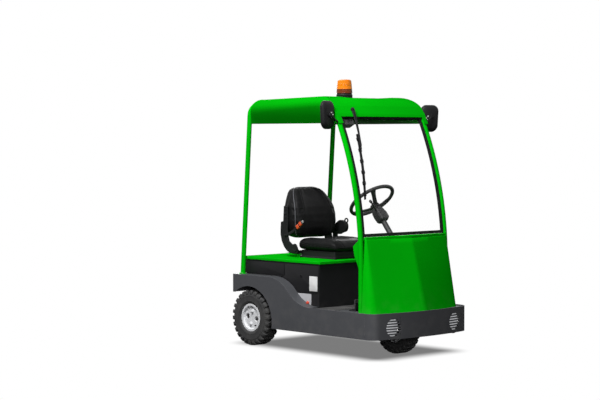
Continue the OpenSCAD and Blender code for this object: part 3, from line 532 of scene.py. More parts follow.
def moulded(name, colour, rough, grain, gloss=0.5):
    """Plastic with the mould's spark-eroded grain."""
    made, shader, here = surface(name)
    cloud = noise(here, 8.0, 4.0)
    edge = rounded_edge(here)
    feed(shader, {
        "Base Color": tint(cloud * 0.7 + edge * 0.3, shade(colour, 0.85), shade(colour, 1.25)),
        "Roughness": cloud * 0.14 + rough,
        "Normal": bump(cells(here, grain) + noise(here, grain, 2.0) * 0.5, 0.0004, 0.3),
        "Specular IOR Level": gloss,
    })
    return made


reflector = bright_metal("pressed_reflector", (0.90, 0.90, 0.88), 0.10)
lamp_glass = lens_plastic("lamp_glass", (0.78, 0.79, 0.82), 0.10, 0.34)
black_plastic = moulded("black_plastic", (0.012, 0.012, 0.013), 0.42, 650.0, 0.14)
red_lens = lens_plastic("red_lens", (0.55, 0.012, 0.010), 0.12, 0.05)
LAMP_X, LAMP_Y, LAMP_Z = 0.795, 0.346, 0.252
softened("headlamps", black_plastic, 0.002)
for side, sign in (("right", -1), ("left", 1)):
    place = facing((LAMP_X, sign * LAMP_Y, LAMP_Z), (1, 0, 0))
    bm = bmesh.new()
    bowl = [(0.012 + 0.066 * (i / 12), 0.002 + 0.045 * (i / 12) ** 2) for i in range(13)]
    turned(bm, bowl + [(0.081, 0.047), (0.081, 0.043), (0.076, 0.041)], place, 64, False)
    turned(bm, [(0.009, 0.002), (0.009, 0.020), (0.006, 0.024), (0.002, 0.026)], place, 24)
    put("lamp_reflector_" + side, bm, reflector, "chassis")
    bm = bmesh.new()
    turned(bm, [(0.068, 0.046), (0.062, 0.052), (0.045, 0.057), (0.020, 0.060), (0.002, 0.0605)], place, 64)
    put("lamp_glass_" + side, bm, lamp_glass, "chassis")
    low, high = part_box("tail_lamps")
    lens_y = sign * (high.y - 0.042)
    place = facing((REAR_FACE_X, lens_y, (low.z + high.z) / 2), (-1, 0, 0))
    bm = bmesh.new()
    plate(bm, rounded(0.094, 0.054, 0.013), 0.007, place, 0.002)
    put("tail_lamp_back_" + side, bm, black_plastic, "chassis")
    bm = bmesh.new()
    plate(bm, rounded(0.084, 0.044, 0.010), 0.024, place @ shift(0, 0, 0.004), 0.005)
    for i in range(9):
        plate(bm, rounded(0.0042, 0.032, 0.002, 3), 0.0013,
              place @ shift(-0.032 + 0.008 * i, 0, 0.0275), 0.0008)
    lens = put("tail_lens_" + side, bm, red_lens, "chassis")
    if sign < 0:
        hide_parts("tail_lamps")

# Battery box
# A welded sheet box with a fine textured black coat. It carries a lockable cover on each side, a
# blank rating plate and, low on the right, the pale fixed panel with the charging plug's red cap.
RUBBED_BLACK = (0.06, 0.06, 0.065, 1.0)
box_coat = powder_coat("black_textured_coat", (0.0120, 0.0120, 0.0132), 0.48, 0.15, 700.0, RUBBED_BLACK)
softened("battery_box", box_coat, 0.002)


def case_plastic(name):
    made, shader, here = surface(name)
    feed(shader, {
        "Base Color": tint(noise(here, 5.0, 4.0), (0.025, 0.025, 0.026, 1.0), (0.040, 0.040, 0.041, 1.0)),
        "Roughness": noise(here, 60.0, 3.0) * 0.2 + 0.45,
    })
    return made


softened("battery_pack", case_plastic("battery_case"), 0.004)
BOX_SIDE_Y = 0.445


def printed_plate(name, colour, rough):
    made, shader, here = surface(name)
    fade = noise(here, 12.0, 4.0)
    feed(shader, {
        "Base Color": tint(fade, shade(colour, 0.9), shade(colour, 1.04)),
        "Roughness": fade * 0.2 + rough,
        "Normal": bump(noise(here, 350.0, 2.0), 0.0003, 0.15),
    })
    return made


plate_white = printed_plate("plate_white", (0.74, 0.74, 0.74), 0.35)
panel_grey = printed_plate("panel_grey", (0.42, 0.42, 0.44), 0.4)
cap_red = moulded("cap_red", (0.62, 0.055, 0.020), 0.35, 500.0)


def on_side(sign, x0, x1, z0, z1, proud=0.0):
    """A place on the box's side, and the size of what goes there."""
    at = ((x0 + x1) / 2, sign * (BOX_SIDE_Y + proud), (z0 + z1) / 2)
    return facing(at, (0, sign, 0)), x1 - x0, z1 - z0


for side, sign in (("right", -1), ("left", 1)):
    bm = bmesh.new()
    place, w, h = on_side(sign, -0.270, 0.134, 0.470, 0.692)
    plate(bm, rounded(w, h, 0.008), 0.003, place, 0.0012)
    place, w, h = on_side(sign, -0.752, -0.262, 0.594, 0.692)
    plate(bm, rounded(w, h, 0.006), 0.003, place, 0.0012)
    put("side_cover_" + side, bm, box_coat, "chassis")
    bm = bmesh.new()
    place = facing((-0.066, sign * (BOX_SIDE_Y + 0.003), 0.601), (0, sign, 0))
    turned(bm, [(0.0125, 0.0), (0.0125, 0.002), (0.0105, 0.0035), (0.0092, 0.0035), (0.0088, -0.001)],
           place, 40, False)
    plate(bm, rounded(0.0075, 0.0075, 0.0008, 2), 0.002, place, 0.0005)
    put("cover_lock_" + side, bm, black_plastic, "chassis")
bm = bmesh.new()
place, w, h = on_side(-1, 0.030, 0.124, 0.487, 0.606, 0.003)
plate(bm, rounded(w, h, 0.004), 0.0012, place, 0.0005)
put("rating_plate", bm, plate_white, "chassis")
bm = bmesh.new()
for u, v in ((-1, -1), (1, -1), (-1, 1), (1, 1)):
    turned(bm, [(0.0028, 0.0), (0.0026, 0.001), (0.0012, 0.0016)],
           place @ shift(u * (w / 2 - 0.007), v * (h / 2 - 0.007), 0.0012), 16)
put("plate_rivets", bm, zinc_steel, "chassis")
bm = bmesh.new()
place, w, h = on_side(-1, -0.135, 0.050, 0.372, 0.462)
plate(bm, rounded(w, h, 0.003), 0.0022, place, 0.0008)
put("plug_panel", bm, panel_grey, "chassis")
bm = bmesh.new()
place = facing((0.014, -BOX_SIDE_Y - 0.002, 0.392), (0, -1, 0))
turned(bm, [(0.0135, 0.0), (0.0135, 0.003), (0.0110, 0.005), (0.0105, 0.013), (0.0085, 0.015)], place, 36)
put("plug_cap", bm, cap_red, "chassis")

# Cowl and dashboard
# The cowl is one sheet with a soft fold down its middle, and the dashboard a folded shelf with
# closed cheeks. Both are coated bright green; the gauge, key and switches snap into the shelf.
SPRING_GREEN = (0.001, 0.440, 0.004)
green_coat = powder_coat("green_powder_coat", SPRING_GREEN, 0.32, 0.0, 330.0, (0.03, 0.52, 0.05, 1.0))
SHEET, FOLD, FOLD_R = 0.004, math.radians(12.0), 0.150


def prow(nose, half, fold, corner, back, inset):
    """The sheet seen from above: straight sides, round corners, and two halves meeting in a soft fold."""
    mid = nose - FOLD_R + (FOLD_R - corner - (half - corner) * math.sin(fold)) / math.cos(fold)
    right = [(mid + (corner - inset) * math.cos(a), corner - half + (corner - inset) * math.sin(a))
             for a in (-math.pi / 2 + (math.pi / 2 - fold) * i / 12 for i in range(13))]
    nosing = [(nose - FOLD_R + (FOLD_R - inset) * math.cos(a), (FOLD_R - inset) * math.sin(a))
              for a in (-fold + fold * i / 8 for i in range(9))]
    flat = [tuple(p + (q - p) * i / 10 for p, q in zip(right[-1], nosing[0])) for i in range(1, 10)]
    run = [(back, inset - half)] + right + flat + nosing
    return run + [(x, -y) for x, y in run[-2::-1]]


_, cowl_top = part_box("cowl")
FLOOR_Z, LIP_Z = 0.357, cowl_top.z - 0.020
# Nose, half width, fold, corner radius and rear end of the sheet at its foot, its head and its lip
foot = (0.880, 0.500, FOLD, 0.080, 0.674)
head = (0.732, 0.4585, 0.54 * FOLD, 0.010, 0.664)
step = head[:4] + (0.636,)


def sheet_ring(height, share, inset):
    """One level of the sheet: its outer face and, backwards, its inner face."""
    ring = []
    for deep, order in ((inset, 1), (inset + SHEET, -1)):
        rows = zip(prow(*foot, deep), prow(*(head if inset < 0.004 else step), deep))
        ring += [Vector((a[0] + (b[0] - a[0]) * share, a[1] + (b[1] - a[1]) * share, height))
                 for a, b in rows][::order]
    return ring


bm = bmesh.new()
levels = [(FLOOR_Z + (LIP_Z - 0.0015 - FLOOR_Z) * i / 16, i / 16, 0.0) for i in range(17)]
band(bm, [sheet_ring(*level) for level in levels + [
    (LIP_Z, 1.0, 0.0015), (LIP_Z, 1.0, 0.0045), (LIP_Z + 0.0008, 1.0, 0.0052),
    (cowl_top.z - 0.001, 1.0, 0.0052), (cowl_top.z, 1.0, 0.0062)]])
flange = prow(*head, 0.0062) + [(0.629, 0.4520), (0.629, -0.4520)]
band(bm, [[Vector((x, y, z)) for x, y in flange] for z in (cowl_top.z - SHEET, cowl_top.z - 0.0004)])
piece = put("cowl_sheet", bm, green_coat, "chassis")
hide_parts("cowl")
softened("dashboard", green_coat, 0.003, 3)
COLUMN_LEAN = math.radians(39.2)
column_up = Vector((-math.sin(COLUMN_LEAN), 0, math.cos(COLUMN_LEAN)))
shelf_along = Vector((math.cos(COLUMN_LEAN), 0, math.sin(COLUMN_LEAN)))
WHEEL_AT, SHELF_DOWN = Vector((0.287, 0.0, 1.206)), 0.420
shelf_middle = WHEEL_AT - column_up * SHELF_DOWN + shelf_along * 0.017
GAUGE_Y, SWITCHES_Y, KEY_Y, STOP_Y = 0.150, (0.225, 0.262, 0.299), -0.130, -0.205


def on_shelf(y):
    return facing(shelf_middle + Vector((0, y, 0)), column_up, shelf_along)


bm = bmesh.new()
turned(bm, [(0.030, 0.0), (0.030, 0.005), (0.027, 0.008), (0.024, 0.008), (0.0235, 0.004)],
       on_shelf(GAUGE_Y), 48, False)
for y in SWITCHES_Y:
    plate(bm, rounded(0.024, 0.040, 0.003), 0.003, on_shelf(y), 0.001)
    plate(bm, rounded(0.017, 0.032, 0.003), 0.0065, on_shelf(y), 0.0025)
turned(bm, [(0.017, 0.0), (0.017, 0.004), (0.014, 0.007), (0.0095, 0.007), (0.009, 0.005)],
       on_shelf(KEY_Y), 40)
put("dash_switches", bm, black_plastic, "chassis")
bm = bmesh.new()
turned(bm, [(0.024, 0.003), (0.001, 0.003)], on_shelf(GAUGE_Y), 48)
for i in range(9):
    mark = Matrix.Rotation(math.radians(-130 + 27.5 * i), 4, "Z") @ shift(0, 0.019, 0.003)
    plate(bm, rounded(0.0012, 0.005, 0.0004, 2), 0.0006, on_shelf(GAUGE_Y) @ mark, 0.0002)
put("gauge_face", bm, plate_white, "chassis")
bm = bmesh.new()
turned(bm, [(0.019, 0.0), (0.019, 0.003), (0.011, 0.004), (0.011, 0.012), (0.020, 0.016), (0.020, 0.022),
            (0.016, 0.027), (0.006, 0.029)], on_shelf(STOP_Y), 48)
put("stop_button", bm, cap_red, "chassis")
bm = bmesh.new()
plate(bm, rounded(0.004, 0.014, 0.001, 3), 0.020, on_shelf(KEY_Y) @ shift(0, 0, 0.006), 0.001)
turned(bm, [(0.005, 0.0), (0.005, 0.003), (0.003, 0.004)], on_shelf(GAUGE_Y) @ shift(0, 0, 0.003), 20)
put("key_and_needle", bm, zinc_steel, "chassis")

# Steering column and pedals
# A steel tube in a moulded two-part shroud that carries the travel lever, bolted to the shelf by its
# collar. The pedals are bent steel arms with grooved rubber treads.
softened("pedals", black_coat, 0.0015)


def rod(bm, path, radius, sides=16, caps=True):
    """A round bar or tube along a path of points, with one radius or one for each point."""
    points = [Vector(p) for p in path]
    radii = radius if isinstance(radius, (list, tuple)) else [radius] * len(points)
    last = len(points) - 1
    ahead = [(points[min(i + 1, last)] - points[max(i - 1, 0)]).normalized() for i in range(last + 1)]
    normal = ahead[0].orthogonal().normalized()
    rings = []
    for point, along, r in zip(points, ahead, radii):
        normal = (normal - along * normal.dot(along)).normalized()
        other = along.cross(normal)
        rings.append([point + r * (math.cos(a) * normal + math.sin(a) * other)
                      for a in (2 * math.pi * i / sides for i in range(sides))])
    band(bm, rings, True, caps)


def smooth_path(points, steps=8):
    """A curve that passes through all of the points."""
    p = [Vector(q) for q in points]
    p = [2 * p[0] - p[1]] + p + [2 * p[-1] - p[-2]]
    out = []
    for i in range(1, len(p) - 2):
        for k in range(steps):
            t = k / steps
            out.append(0.5 * (2 * p[i] + (p[i + 1] - p[i - 1]) * t
                              + (2 * p[i - 1] - 5 * p[i] + 4 * p[i + 1] - p[i + 2]) * t * t
                              + (3 * p[i] - p[i - 1] - 3 * p[i + 1] + p[i + 2]) * t ** 3))
    return out + [p[-2]]


column_place = facing(WHEEL_AT, column_up, (0, 1, 0))
COLUMN_R, HUB_DOWN = 0.022, 0.075
COLLAR = ((0.043, 0.0003), (0.044, 0.0015), (0.044, 0.009), (0.041, 0.012), (0.026, 0.013),
          (COLUMN_R, 0.018))
SHROUD = (
    (-0.210, 0.062, 0.066, 0.022), (-0.206, 0.074, 0.080, 0.024), (-0.196, 0.084, 0.090, 0.026),
    (-0.1560, 0.090, 0.096, 0.026), (-0.1550, 0.0885, 0.0945, 0.026), (-0.1535, 0.0885, 0.0945, 0.026),
    (-0.1525, 0.090, 0.096, 0.026), (-0.118, 0.088, 0.093, 0.026), (-0.096, 0.078, 0.084, 0.026),
    (-0.084, 0.068, 0.072, 0.026), (-0.079, 0.060, 0.062, 0.024))


def loft(bm, place, rows, steps=8):
    """Skins a row of rounded rectangles: height, width, depth and corner radius of each."""
    band(bm, [[place @ Vector((u, v, h)) for u, v in rounded(w, d, r, steps)] for h, w, d, r in rows])


bm = bmesh.new()
turned(bm, [(COLUMN_R, -SHELF_DOWN - 0.060), (COLUMN_R, -HUB_DOWN - 0.0003)], column_place, 40)
turned(bm, [(r, h - SHELF_DOWN) for r, h in COLLAR], column_place, 40)
loft(bm, column_place, SHROUD)
switch_place = column_place @ facing((0, 0.044, -0.150), (0, 1, 0), (0, 0, 1))
loft(bm, switch_place, ((-0.004, 0.052, 0.078, 0.012), (0.016, 0.050, 0.076, 0.012),
                        (0.024, 0.044, 0.068, 0.014), (0.028, 0.030, 0.052, 0.014)))
shroud_plastic = moulded("shroud_plastic", (0.017, 0.017, 0.018), 0.46, 650.0)
piece = put("column_and_shroud", bm, shroud_plastic, "chassis", 40.0)
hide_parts("steering_column")
bm = bmesh.new()
for k in range(4):
    bolt(bm, column_place @ on_circle(0.034, math.pi / 4 + math.pi / 2 * k, 0.012 - SHELF_DOWN), 0.0045)
put("collar_bolts", bm, zinc_steel, "chassis")
bm = bmesh.new()
lever = smooth_path([column_place @ Vector(p) for p in (
    (0.018, -0.036, -0.118), (0.058, -0.086, -0.108), (0.096, -0.136, -0.098), (0.112, -0.158, -0.095))])
rod(bm, lever, [0.0085 - 0.0020 * i / (len(lever) - 1) for i in range(len(lever))], 16)
knob = (lever[-1] - lever[-3]).normalized()
rod(bm, [lever[-1] - 0.004 * knob, lever[-1], lever[-1] + 0.020 * knob, lever[-1] + 0.026 * knob],
    [0.0060, 0.0110, 0.0110, 0.0070], 20)
put("travel_lever", bm, shroud_plastic, "chassis")
bm = bmesh.new()
for middle, width in ((-0.290, 0.070), (-0.390, 0.060)):
    tread = facing((0.5215, middle, 0.412), (-0.994, 0, 0.113))
    plate(bm, rounded(width + 0.006, 0.078, 0.006), 0.005, tread, 0.002)
    for i in range(6):
        plate(bm, rounded(width - 0.004, 0.006, 0.002, 3), 0.003,
              tread @ shift(0, -0.030 + 0.012 * i, 0.0045), 0.0012)
put("pedal_treads", bm, mat_rubber, "chassis")

# Steering wheel
# A steel ring and three pressed spokes under one moulding of soft black foam, with a round cap
# over the nut. The ring is a little thicker where the hands hold it.


def soft_foam(name):
    made, shader, here = surface(name)
    hand = ease(noise(here, 9.0, 4.0), 0.4, 0.7)
    feed(shader, {
        "Base Color": tint(hand, (0.020, 0.020, 0.021, 1.0), (0.032, 0.032, 0.033, 1.0)),
        "Roughness": 0.58 - hand * 0.14,
        "Normal": bump(cells(here, 750.0), 0.0004, 0.35),
    })
    return made


foam = soft_foam("soft_foam")
RING_R, RING_TUBE, RING_STEPS, WHEEL_DISH, SPOKES = 0.1855, 0.0155, 120, 0.070, (325, 85, 205)
bm = bmesh.new()
rings = []
for i in range(RING_STEPS + 1):
    a = 2 * math.pi * i / RING_STEPS
    grip = RING_TUBE * (0.955 + 0.045 * math.cos(3 * (a - math.radians(25))))
    around = [math.pi / 12 * k for k in range(24)]
    section = [(RING_R + grip * math.cos(b), grip * math.sin(b)) for b in around]
    rings.append([column_place @ Vector((r * math.cos(a), r * math.sin(a), h)) for r, h in section])
band(bm, rings, True, False)
bmesh.ops.remove_doubles(bm, verts=bm.verts, dist=1e-6)
turned(bm, [(0.030, -HUB_DOWN), (0.036, -0.0735), (0.038, -0.068), (0.038, -0.050), (0.036, -0.045),
            (0.029, -0.042), (0.0285, -0.0435), (0.027, -0.0410), (0.018, -0.0385), (0.004, -0.0375)],
       column_place, 64)
for degrees in SPOKES:
    turn = column_place @ Matrix.Rotation(math.radians(degrees), 4, "Z")
    rings = []
    for i in range(15):
        t = i / 14
        r = 0.026 + (RING_R - 0.004 - 0.026) * t
        h = -WHEEL_DISH + 0.010 + (WHEEL_DISH - 0.010) * (0.55 * t + 0.45 * t * t * (3 - 2 * t)) * 0.985
        w = 0.0220 - 0.0050 * math.sin(math.pi * t) + 0.0050 * t ** 6
        rings.append([turn @ Vector((r, u, h + v)) for u, v in rounded(2 * w, 0.014, 0.0058, 4)])
    band(bm, rings)
piece = put("steering_wheel_foam", bm, foam, "steering_wheel", 50.0)
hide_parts("steering_wheel")

# Cab pillars and rear hoop
# Round steel tube, coated green. The front pillars bend back on one long arc with the windscreen
# between them; the hoop behind is one tube bent twice, on foot plates bolted to the wings.
PILLAR_X, PILLAR_Y, PILLAR_R = 0.648, 0.480, 0.020
ARC_Z, ARC_R, PILLAR_TOP = 0.730, 2.600, 1.858


def arc_point(z, radius=ARC_R):
    """Where the screen's arc passes a height, and its outward normal there."""
    a = math.asin((z - ARC_Z) / radius)
    return Vector((PILLAR_X - ARC_R + radius * math.cos(a), 0, z)), Vector((math.cos(a), 0, math.sin(a)))


for side, sign in (("right", -1), ("left", 1)):
    path = [Vector((PILLAR_X, sign * PILLAR_Y, FLOOR_Z + (ARC_Z - FLOOR_Z) * i / 4)) for i in range(4)]
    for i in range(33):
        at, _ = arc_point(ARC_Z + (PILLAR_TOP - ARC_Z) * i / 32)
        path.append(at + Vector((0, sign * PILLAR_Y, 0)))
    bm = bmesh.new()
    rod(bm, path, PILLAR_R, 40)
    turned(bm, [(PILLAR_R + 0.0045, 0.0), (PILLAR_R + 0.0025, 0.0022), (PILLAR_R - 0.001, 0.0048)],
           shift(PILLAR_X, sign * PILLAR_Y, FLOOR_Z), 40)
    piece = put("pillar_tube_" + side, bm, green_coat, "chassis")
    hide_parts("front_pillar_" + side)
HOOP_X, WING_Z, FALL_Z, REAR_FALL = -0.744, 0.583, 1.930, 0.018


def part_way(value, low, high):
    """How far a value has gone from one end of a range to the other, from 0 to 1."""
    return min(1.0, max(0.0, (value - low) / (high - low)))


def fall(z):
    """How far the cab's top slopes down at its rear end."""
    return REAR_FALL * part_way(z, FALL_Z, FALL_Z + 0.07)


hoop = softened("rear_hoop", green_coat, 0.0015)
for v in hoop.data.vertices:
    v.co.z -= fall(v.co.z)
bm = bmesh.new()
for sign in (-1, 1):
    for k in range(3):
        bolt(bm, shift(HOOP_X, sign * PILLAR_Y, WING_Z + 0.006) @ on_circle(
            0.0262, math.radians(60 + 120 * k)), 0.005)
put("hoop_foot_bolts", bm, zinc_steel, "chassis")

# Roof
# A rolled steel sheet, dished between two soft side rails. It drops in front as a visor over the
# windscreen and is coated green inside and out, with painted shade darkening the lower part of its sides.
TUCK_TOP, TUCK_LOW, TUCK_IN, RAIL_Y, ROOF_REAR_X = 2.000, 1.825, 0.052, 0.445, -0.700
ROOF_Z, ROOF_HALF_W, SHOULDER, TIGHT = 2.042, 0.5045, 0.140, 0.088
VISOR_BEND, VISOR_R = 0.260, ARC_R + PILLAR_R + 0.0045
bend_z = ROOF_Z - VISOR_BEND
bend_x = PILLAR_X - ARC_R + math.sqrt((VISOR_R - VISOR_BEND) ** 2 - (bend_z - ARC_Z) ** 2)


def roof_paint(name):
    """The green coat, with painted shade that darkens the lower part of the roof's overhanging sides."""
    made, shader, here = surface(name)
    cloud = noise(here, 3.0, 3.0)
    out = here.node("ShaderNodeMath", {"operation": "ABSOLUTE"}, {0: axis(here, 1)})
    along = axis(here, 0)
    side = ease(out, 0.36, 0.46) * ease(along, -0.715, -0.680) * (1 - ease(along, 0.22, 0.36))
    # Painted shade: on the roof's sides the coat is darkened more and more towards the bottom edge, as
    # shade that falls there.
    painted_shade = side * (0.95 - 0.78 * ease(axis(here, 2), 1.860, 2.060))
    paint = tint(cloud, shade(SPRING_GREEN, 0.9), shade(SPRING_GREEN, 1.08))
    feed(shader, {
        # The painted shade tints the green towards a near-black green.
        "Base Color": tint(painted_shade * 0.72, paint, (0.001, 0.030, 0.001, 1.0)),
        "Roughness": cloud * 0.12 + 0.26,
        "Normal": bump(noise(here, 330.0, 2.0), 0.0006, 0.16),
        "Specular IOR Level": 0.0,
    })
    return made


def tightened(x, y, z):
    """A point of the roof's shoulders, which run from the hoop's wide bend to the visor's close one."""
    turn = Vector((abs(y) - ROOF_HALF_W + SHOULDER, z - ROOF_Z + SHOULDER))
    if min(turn) <= 0:
        return y, z
    radius = SHOULDER + (TIGHT - SHOULDER) * part_way(x, ROOF_REAR_X, ROOF_REAR_X + 0.80)
    turn *= (turn.length - SHOULDER + radius) / turn.length
    return math.copysign(ROOF_HALF_W - radius + turn.x, y), ROOF_Z - radius + turn.y


roof = softened("roof", roof_paint("roof_green_coat"), 0.0015)
bm = bmesh.new()
bm.from_mesh(roof.data)
cuts = [((0, 0, TUCK_LOW + 0.011 * i), (0, 0, 1)) for i in range(1, 8)]
cuts += [((x, 0, 0), (1, 0, 0)) for x in (ROOF_REAR_X, -0.60, -0.40, -0.20, 0.0, 0.10, 0.18, 0.26)]
for at, across in cuts:
    everything = bm.verts[:] + bm.edges[:] + bm.faces[:]
    bmesh.ops.bisect_plane(bm, geom=everything, plane_co=at, plane_no=across)
for v in bm.verts:
    x = v.co.x
    y, z = tightened(x, v.co.y, v.co.z)
    bend = math.hypot(x - bend_x, v.co.z - bend_z)
    if z > v.co.z and x > bend_x and abs(bend - VISOR_BEND) < 0.010:
        x = bend_x + math.sqrt(max(0.0, bend ** 2 - (z - bend_z) ** 2))
    if abs(y) > RAIL_Y and z < TUCK_TOP:
        behind = part_way(x, 0.34, 0.14) * part_way(x, ROOF_REAR_X, ROOF_REAR_X + 0.12)
        down = (TUCK_TOP - z) / (TUCK_TOP - TUCK_LOW)
        y -= math.copysign(TUCK_IN * behind * down ** 1.2, y)
    v.co = (x, y, z - fall(z) * part_way(x, 0.25, ROOF_REAR_X))
bm.to_mesh(roof.data)
bm.free()

# Windscreen and seal
# One curved pane of laminated glass, held in a black rubber profile that is pushed over the
# cab's frame all round.
SCREEN_Z0, SCREEN_Z1, GLASS_HALF_W, GLASS_T = 0.955, 1.872, 0.448, 0.005
screen_glass = clear_glass("screen_glass", 0.004)
bm = bmesh.new()
rings = []
for i in range(41):
    z = SCREEN_Z0 + (SCREEN_Z1 - SCREEN_Z0) * i / 40
    at, out = arc_point(z)
    rings.append([at + out * o + Vector((0, y, 0)) for o, y in (
        (GLASS_T / 2, -GLASS_HALF_W), (GLASS_T / 2, GLASS_HALF_W), (-GLASS_T / 2, GLASS_HALF_W),
        (-GLASS_T / 2, -GLASS_HALF_W))])
band(bm, rings)
piece = put("windscreen_pane", bm, screen_glass, "chassis")
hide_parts("windscreen")


def profile_rubber(name):
    made, shader, here = surface(name)
    bloom = ease(noise(here, 14.0, 5.0), 0.4, 0.75)
    feed(shader, {
        "Base Color": tint(bloom, (0.007, 0.007, 0.0075, 1.0), (0.014, 0.014, 0.015, 1.0)),
        "Specular IOR Level": 0.1,
        "Roughness": bloom * 0.2 + 0.45,
        "Normal": bump(noise(here, 600.0, 2.0), 0.0003, 0.2),
    })
    return made


seal_rubber = profile_rubber("seal_rubber")
softened("windscreen_seal", seal_rubber, 0.004, 3)

# Wiper
# The motor hangs under the visor, and its spindle carries a pressed arm with a sprung hinge. The
# blade is a bowed steel strip with a rubber lip, parked beside the right pillar.
PIVOT_Z = 1.930
PIVOT_OUT = Vector((math.sqrt(VISOR_BEND ** 2 - (PIVOT_Z - bend_z) ** 2), 0, PIVOT_Z - bend_z)) / VISOR_BEND
PIVOT_AT = Vector((bend_x, -0.318, bend_z)) + VISOR_BEND * PIVOT_OUT
softened("wiper_motor", moulded("motor_grey", (0.075, 0.075, 0.078), 0.5, 400.0), 0.006, 3)


def over_screen(y, z, lift):
    at, out = arc_point(z)
    return at + out * lift + Vector((0, y, 0)), out


ARM = ((-0.318, 1.925, 0.034), (-0.322, 1.890, 0.037), (-0.330, 1.815, 0.036), (-0.340, 1.725, 0.035),
       (-0.350, 1.640, 0.034))
bm = bmesh.new()
rings = []
for i, point in enumerate(smooth_path([over_screen(*p)[0] for p in ARM], 6)):
    _, out = arc_point(point.z)
    w = 0.0190 - 0.0120 * part_way(i, 0, 20)
    rings.append([point + Vector((0, u, 0)) + out * v for u, v in rounded(2 * w, 0.009, 0.0030, 3)])
band(bm, rings)
turned(bm, [(0.0150, 0.0003), (0.0150, 0.012), (0.0135, 0.018), (0.0095, 0.020), (0.0090, 0.023),
            (0.004, 0.024)], facing(PIVOT_AT, PIVOT_OUT), 32)
spring_a, out = over_screen(-0.3215, 1.893, 0.044)
spring_b, _ = over_screen(-0.3275, 1.838, 0.043)
COIL_R, COIL_TURNS = 0.0038, 12
coil = []
for i in range(12 * COIL_TURNS + 1):
    a = math.pi / 6 * i
    middle = spring_a.lerp(spring_b, i / (12 * COIL_TURNS))
    coil.append(middle + Vector((0, COIL_R * math.cos(a), 0)) + out * COIL_R * math.sin(a))
rod(bm, coil, 0.0009, 6)
piece = put("wiper_arm_pressed", bm, black_plastic, "chassis")
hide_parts("wiper_arm")
BLADE_LOW, BLADE_HIGH = Vector((-0.400, 1.230)), Vector((-0.337, 1.735))


def on_blade(t, lift):
    """A point over the blade's line on the screen, from its lower to its upper end."""
    return over_screen(*BLADE_LOW.lerp(BLADE_HIGH, t), lift)


bm = bmesh.new()
for lift, half, thick, bow in ((0.0075, 0.0035, 0.009, 0.0), (0.0145, 0.0075, 0.005, 0.006)):
    rings = []
    for i in range(25):
        point, out = on_blade(i / 24, lift + bow * math.sin(math.pi * i / 24))
        rings.append([point + Vector((0, u, 0)) + out * v for u, v in rounded(2 * half, thick, 0.0012, 2)])
    band(bm, rings)
for i in range(6):
    t = 0.08 + 0.168 * i
    tall = 0.012 + 0.006 * math.sin(math.pi * t)
    plate(bm, rounded(0.024, 0.030, 0.005, 4), tall, facing(*on_blade(t, 0.006)), 0.002)
piece = put("wiper_blade_strip", bm, seal_rubber, "chassis")
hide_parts("wiper_blade")
bm = bmesh.new()
arm_end = ARM[-1][:2]
turned(bm, [(0.009, -0.006), (0.009, 0.006), (0.007, 0.008)],
       facing(over_screen(*arm_end, 0.027)[0], (0, -1, 0)), 24)
plate(bm, rounded(0.016, 0.060, 0.006), 0.010, facing(*over_screen(*arm_end, 0.020)), 0.003)
put("wiper_clip", bm, black_plastic, "chassis")

# Mirrors
# Black moulded heads with flat glass, each on a ball joint at the end of a steel rod that is
# bolted to the side of the roof.
MIRROR_AT = Vector((0.380, -0.5815, 1.880))
mirror_silver = bright_metal("mirror_silver", (0.86, 0.88, 0.88), 0.03)
MIRROR_W, MIRROR_H, MIRROR_T = 0.156, 0.222, 0.042


def head_outline(shrink):
    """The head's outline: broad above, drawn in at its lower outer corner."""
    out = []
    for u, v in rounded(MIRROR_W - 2 * shrink, MIRROR_H - 2 * shrink, 0.050 - 0.5 * shrink, 10):
        low = max(0.0, -v / (MIRROR_H / 2))
        out.append((u * (1 - 0.16 * low * low) + 0.006 * low, v))
    return out


# Height over the glass and how far the outline is drawn in there
SHELL = ((0.000, 0.010), (0.0025, 0.003), (0.008, 0.0), (0.020, 0.001), (0.030, 0.007), (0.037, 0.018),
         (0.041, 0.036))
for side, sign, turn, lift in (("right", 1, 10, 0.009), ("left", -1, 26, -0.010)):
    ball = Matrix.Translation(MIRROR_AT + Vector((0, 0, lift)))
    place = (Matrix.Diagonal((1, sign, 1, 1)) @ ball @ Matrix.Rotation(math.radians(turn), 4, "Z")
             @ facing((-MIRROR_T / 2, 0, 0), (1, 0, 0)))
    bm = bmesh.new()
    band(bm, [[place @ Vector((u, v, h)) for u, v in head_outline(s)] for h, s in SHELL])
    piece = put("mirror_shell_" + side, bm, black_plastic, "chassis", 40.0)
    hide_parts("mirror_head_" + side)
    bm = bmesh.new()
    band(bm, [[place @ Vector((u, v, h)) for u, v in head_outline(s)] for h, s in
              ((0.0005, 0.011), (-0.0008, 0.012), (-0.0012, 0.020))])
    put("mirror_glass_" + side, bm, mirror_silver, "chassis")
    bm = bmesh.new()
    for u, v in ((0.022, 0.016), (0.022, -0.014), (0.040, 0.001)):
        bolt(bm, place @ shift(u, v, 0.0395), 0.0085)
    put("mirror_joint_" + side, bm, zinc_steel, "chassis")
softened("mirror_arms", black_plastic, 0.002)

# Beacon
# An amber flashing lamp: a fluted plastic lens with a darker band low down, screwed on a black
# ribbed foot that stands on the roof's middle line.
low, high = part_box("beacon_base")
BEACON_AT = Vector(((low.x + high.x) / 2, 0, low.z))
BEACON_FOOT = high.z - low.z
amber = lens_plastic("amber_lens", (0.82, 0.200, 0.003), 0.22, 0.10)
dark_amber = lens_plastic("dark_amber_band", (0.17, 0.026, 0.004), 0.22, 0.02)
bm = bmesh.new()
turned(bm, [(0.060, 0.0), (0.072, 0.0), (0.072, 0.006), (0.070, 0.010), (0.067, 0.012), (0.067, 0.017),
            (0.064, 0.019), (0.067, 0.021), (0.067, 0.026), (0.064, 0.028), (0.067, 0.030), (0.067, 0.036),
            (0.065, 0.039), (0.060, BEACON_FOOT)], Matrix.Translation(BEACON_AT), 72)
piece = put("beacon_foot", bm, black_plastic, "chassis")
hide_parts("beacon_base")


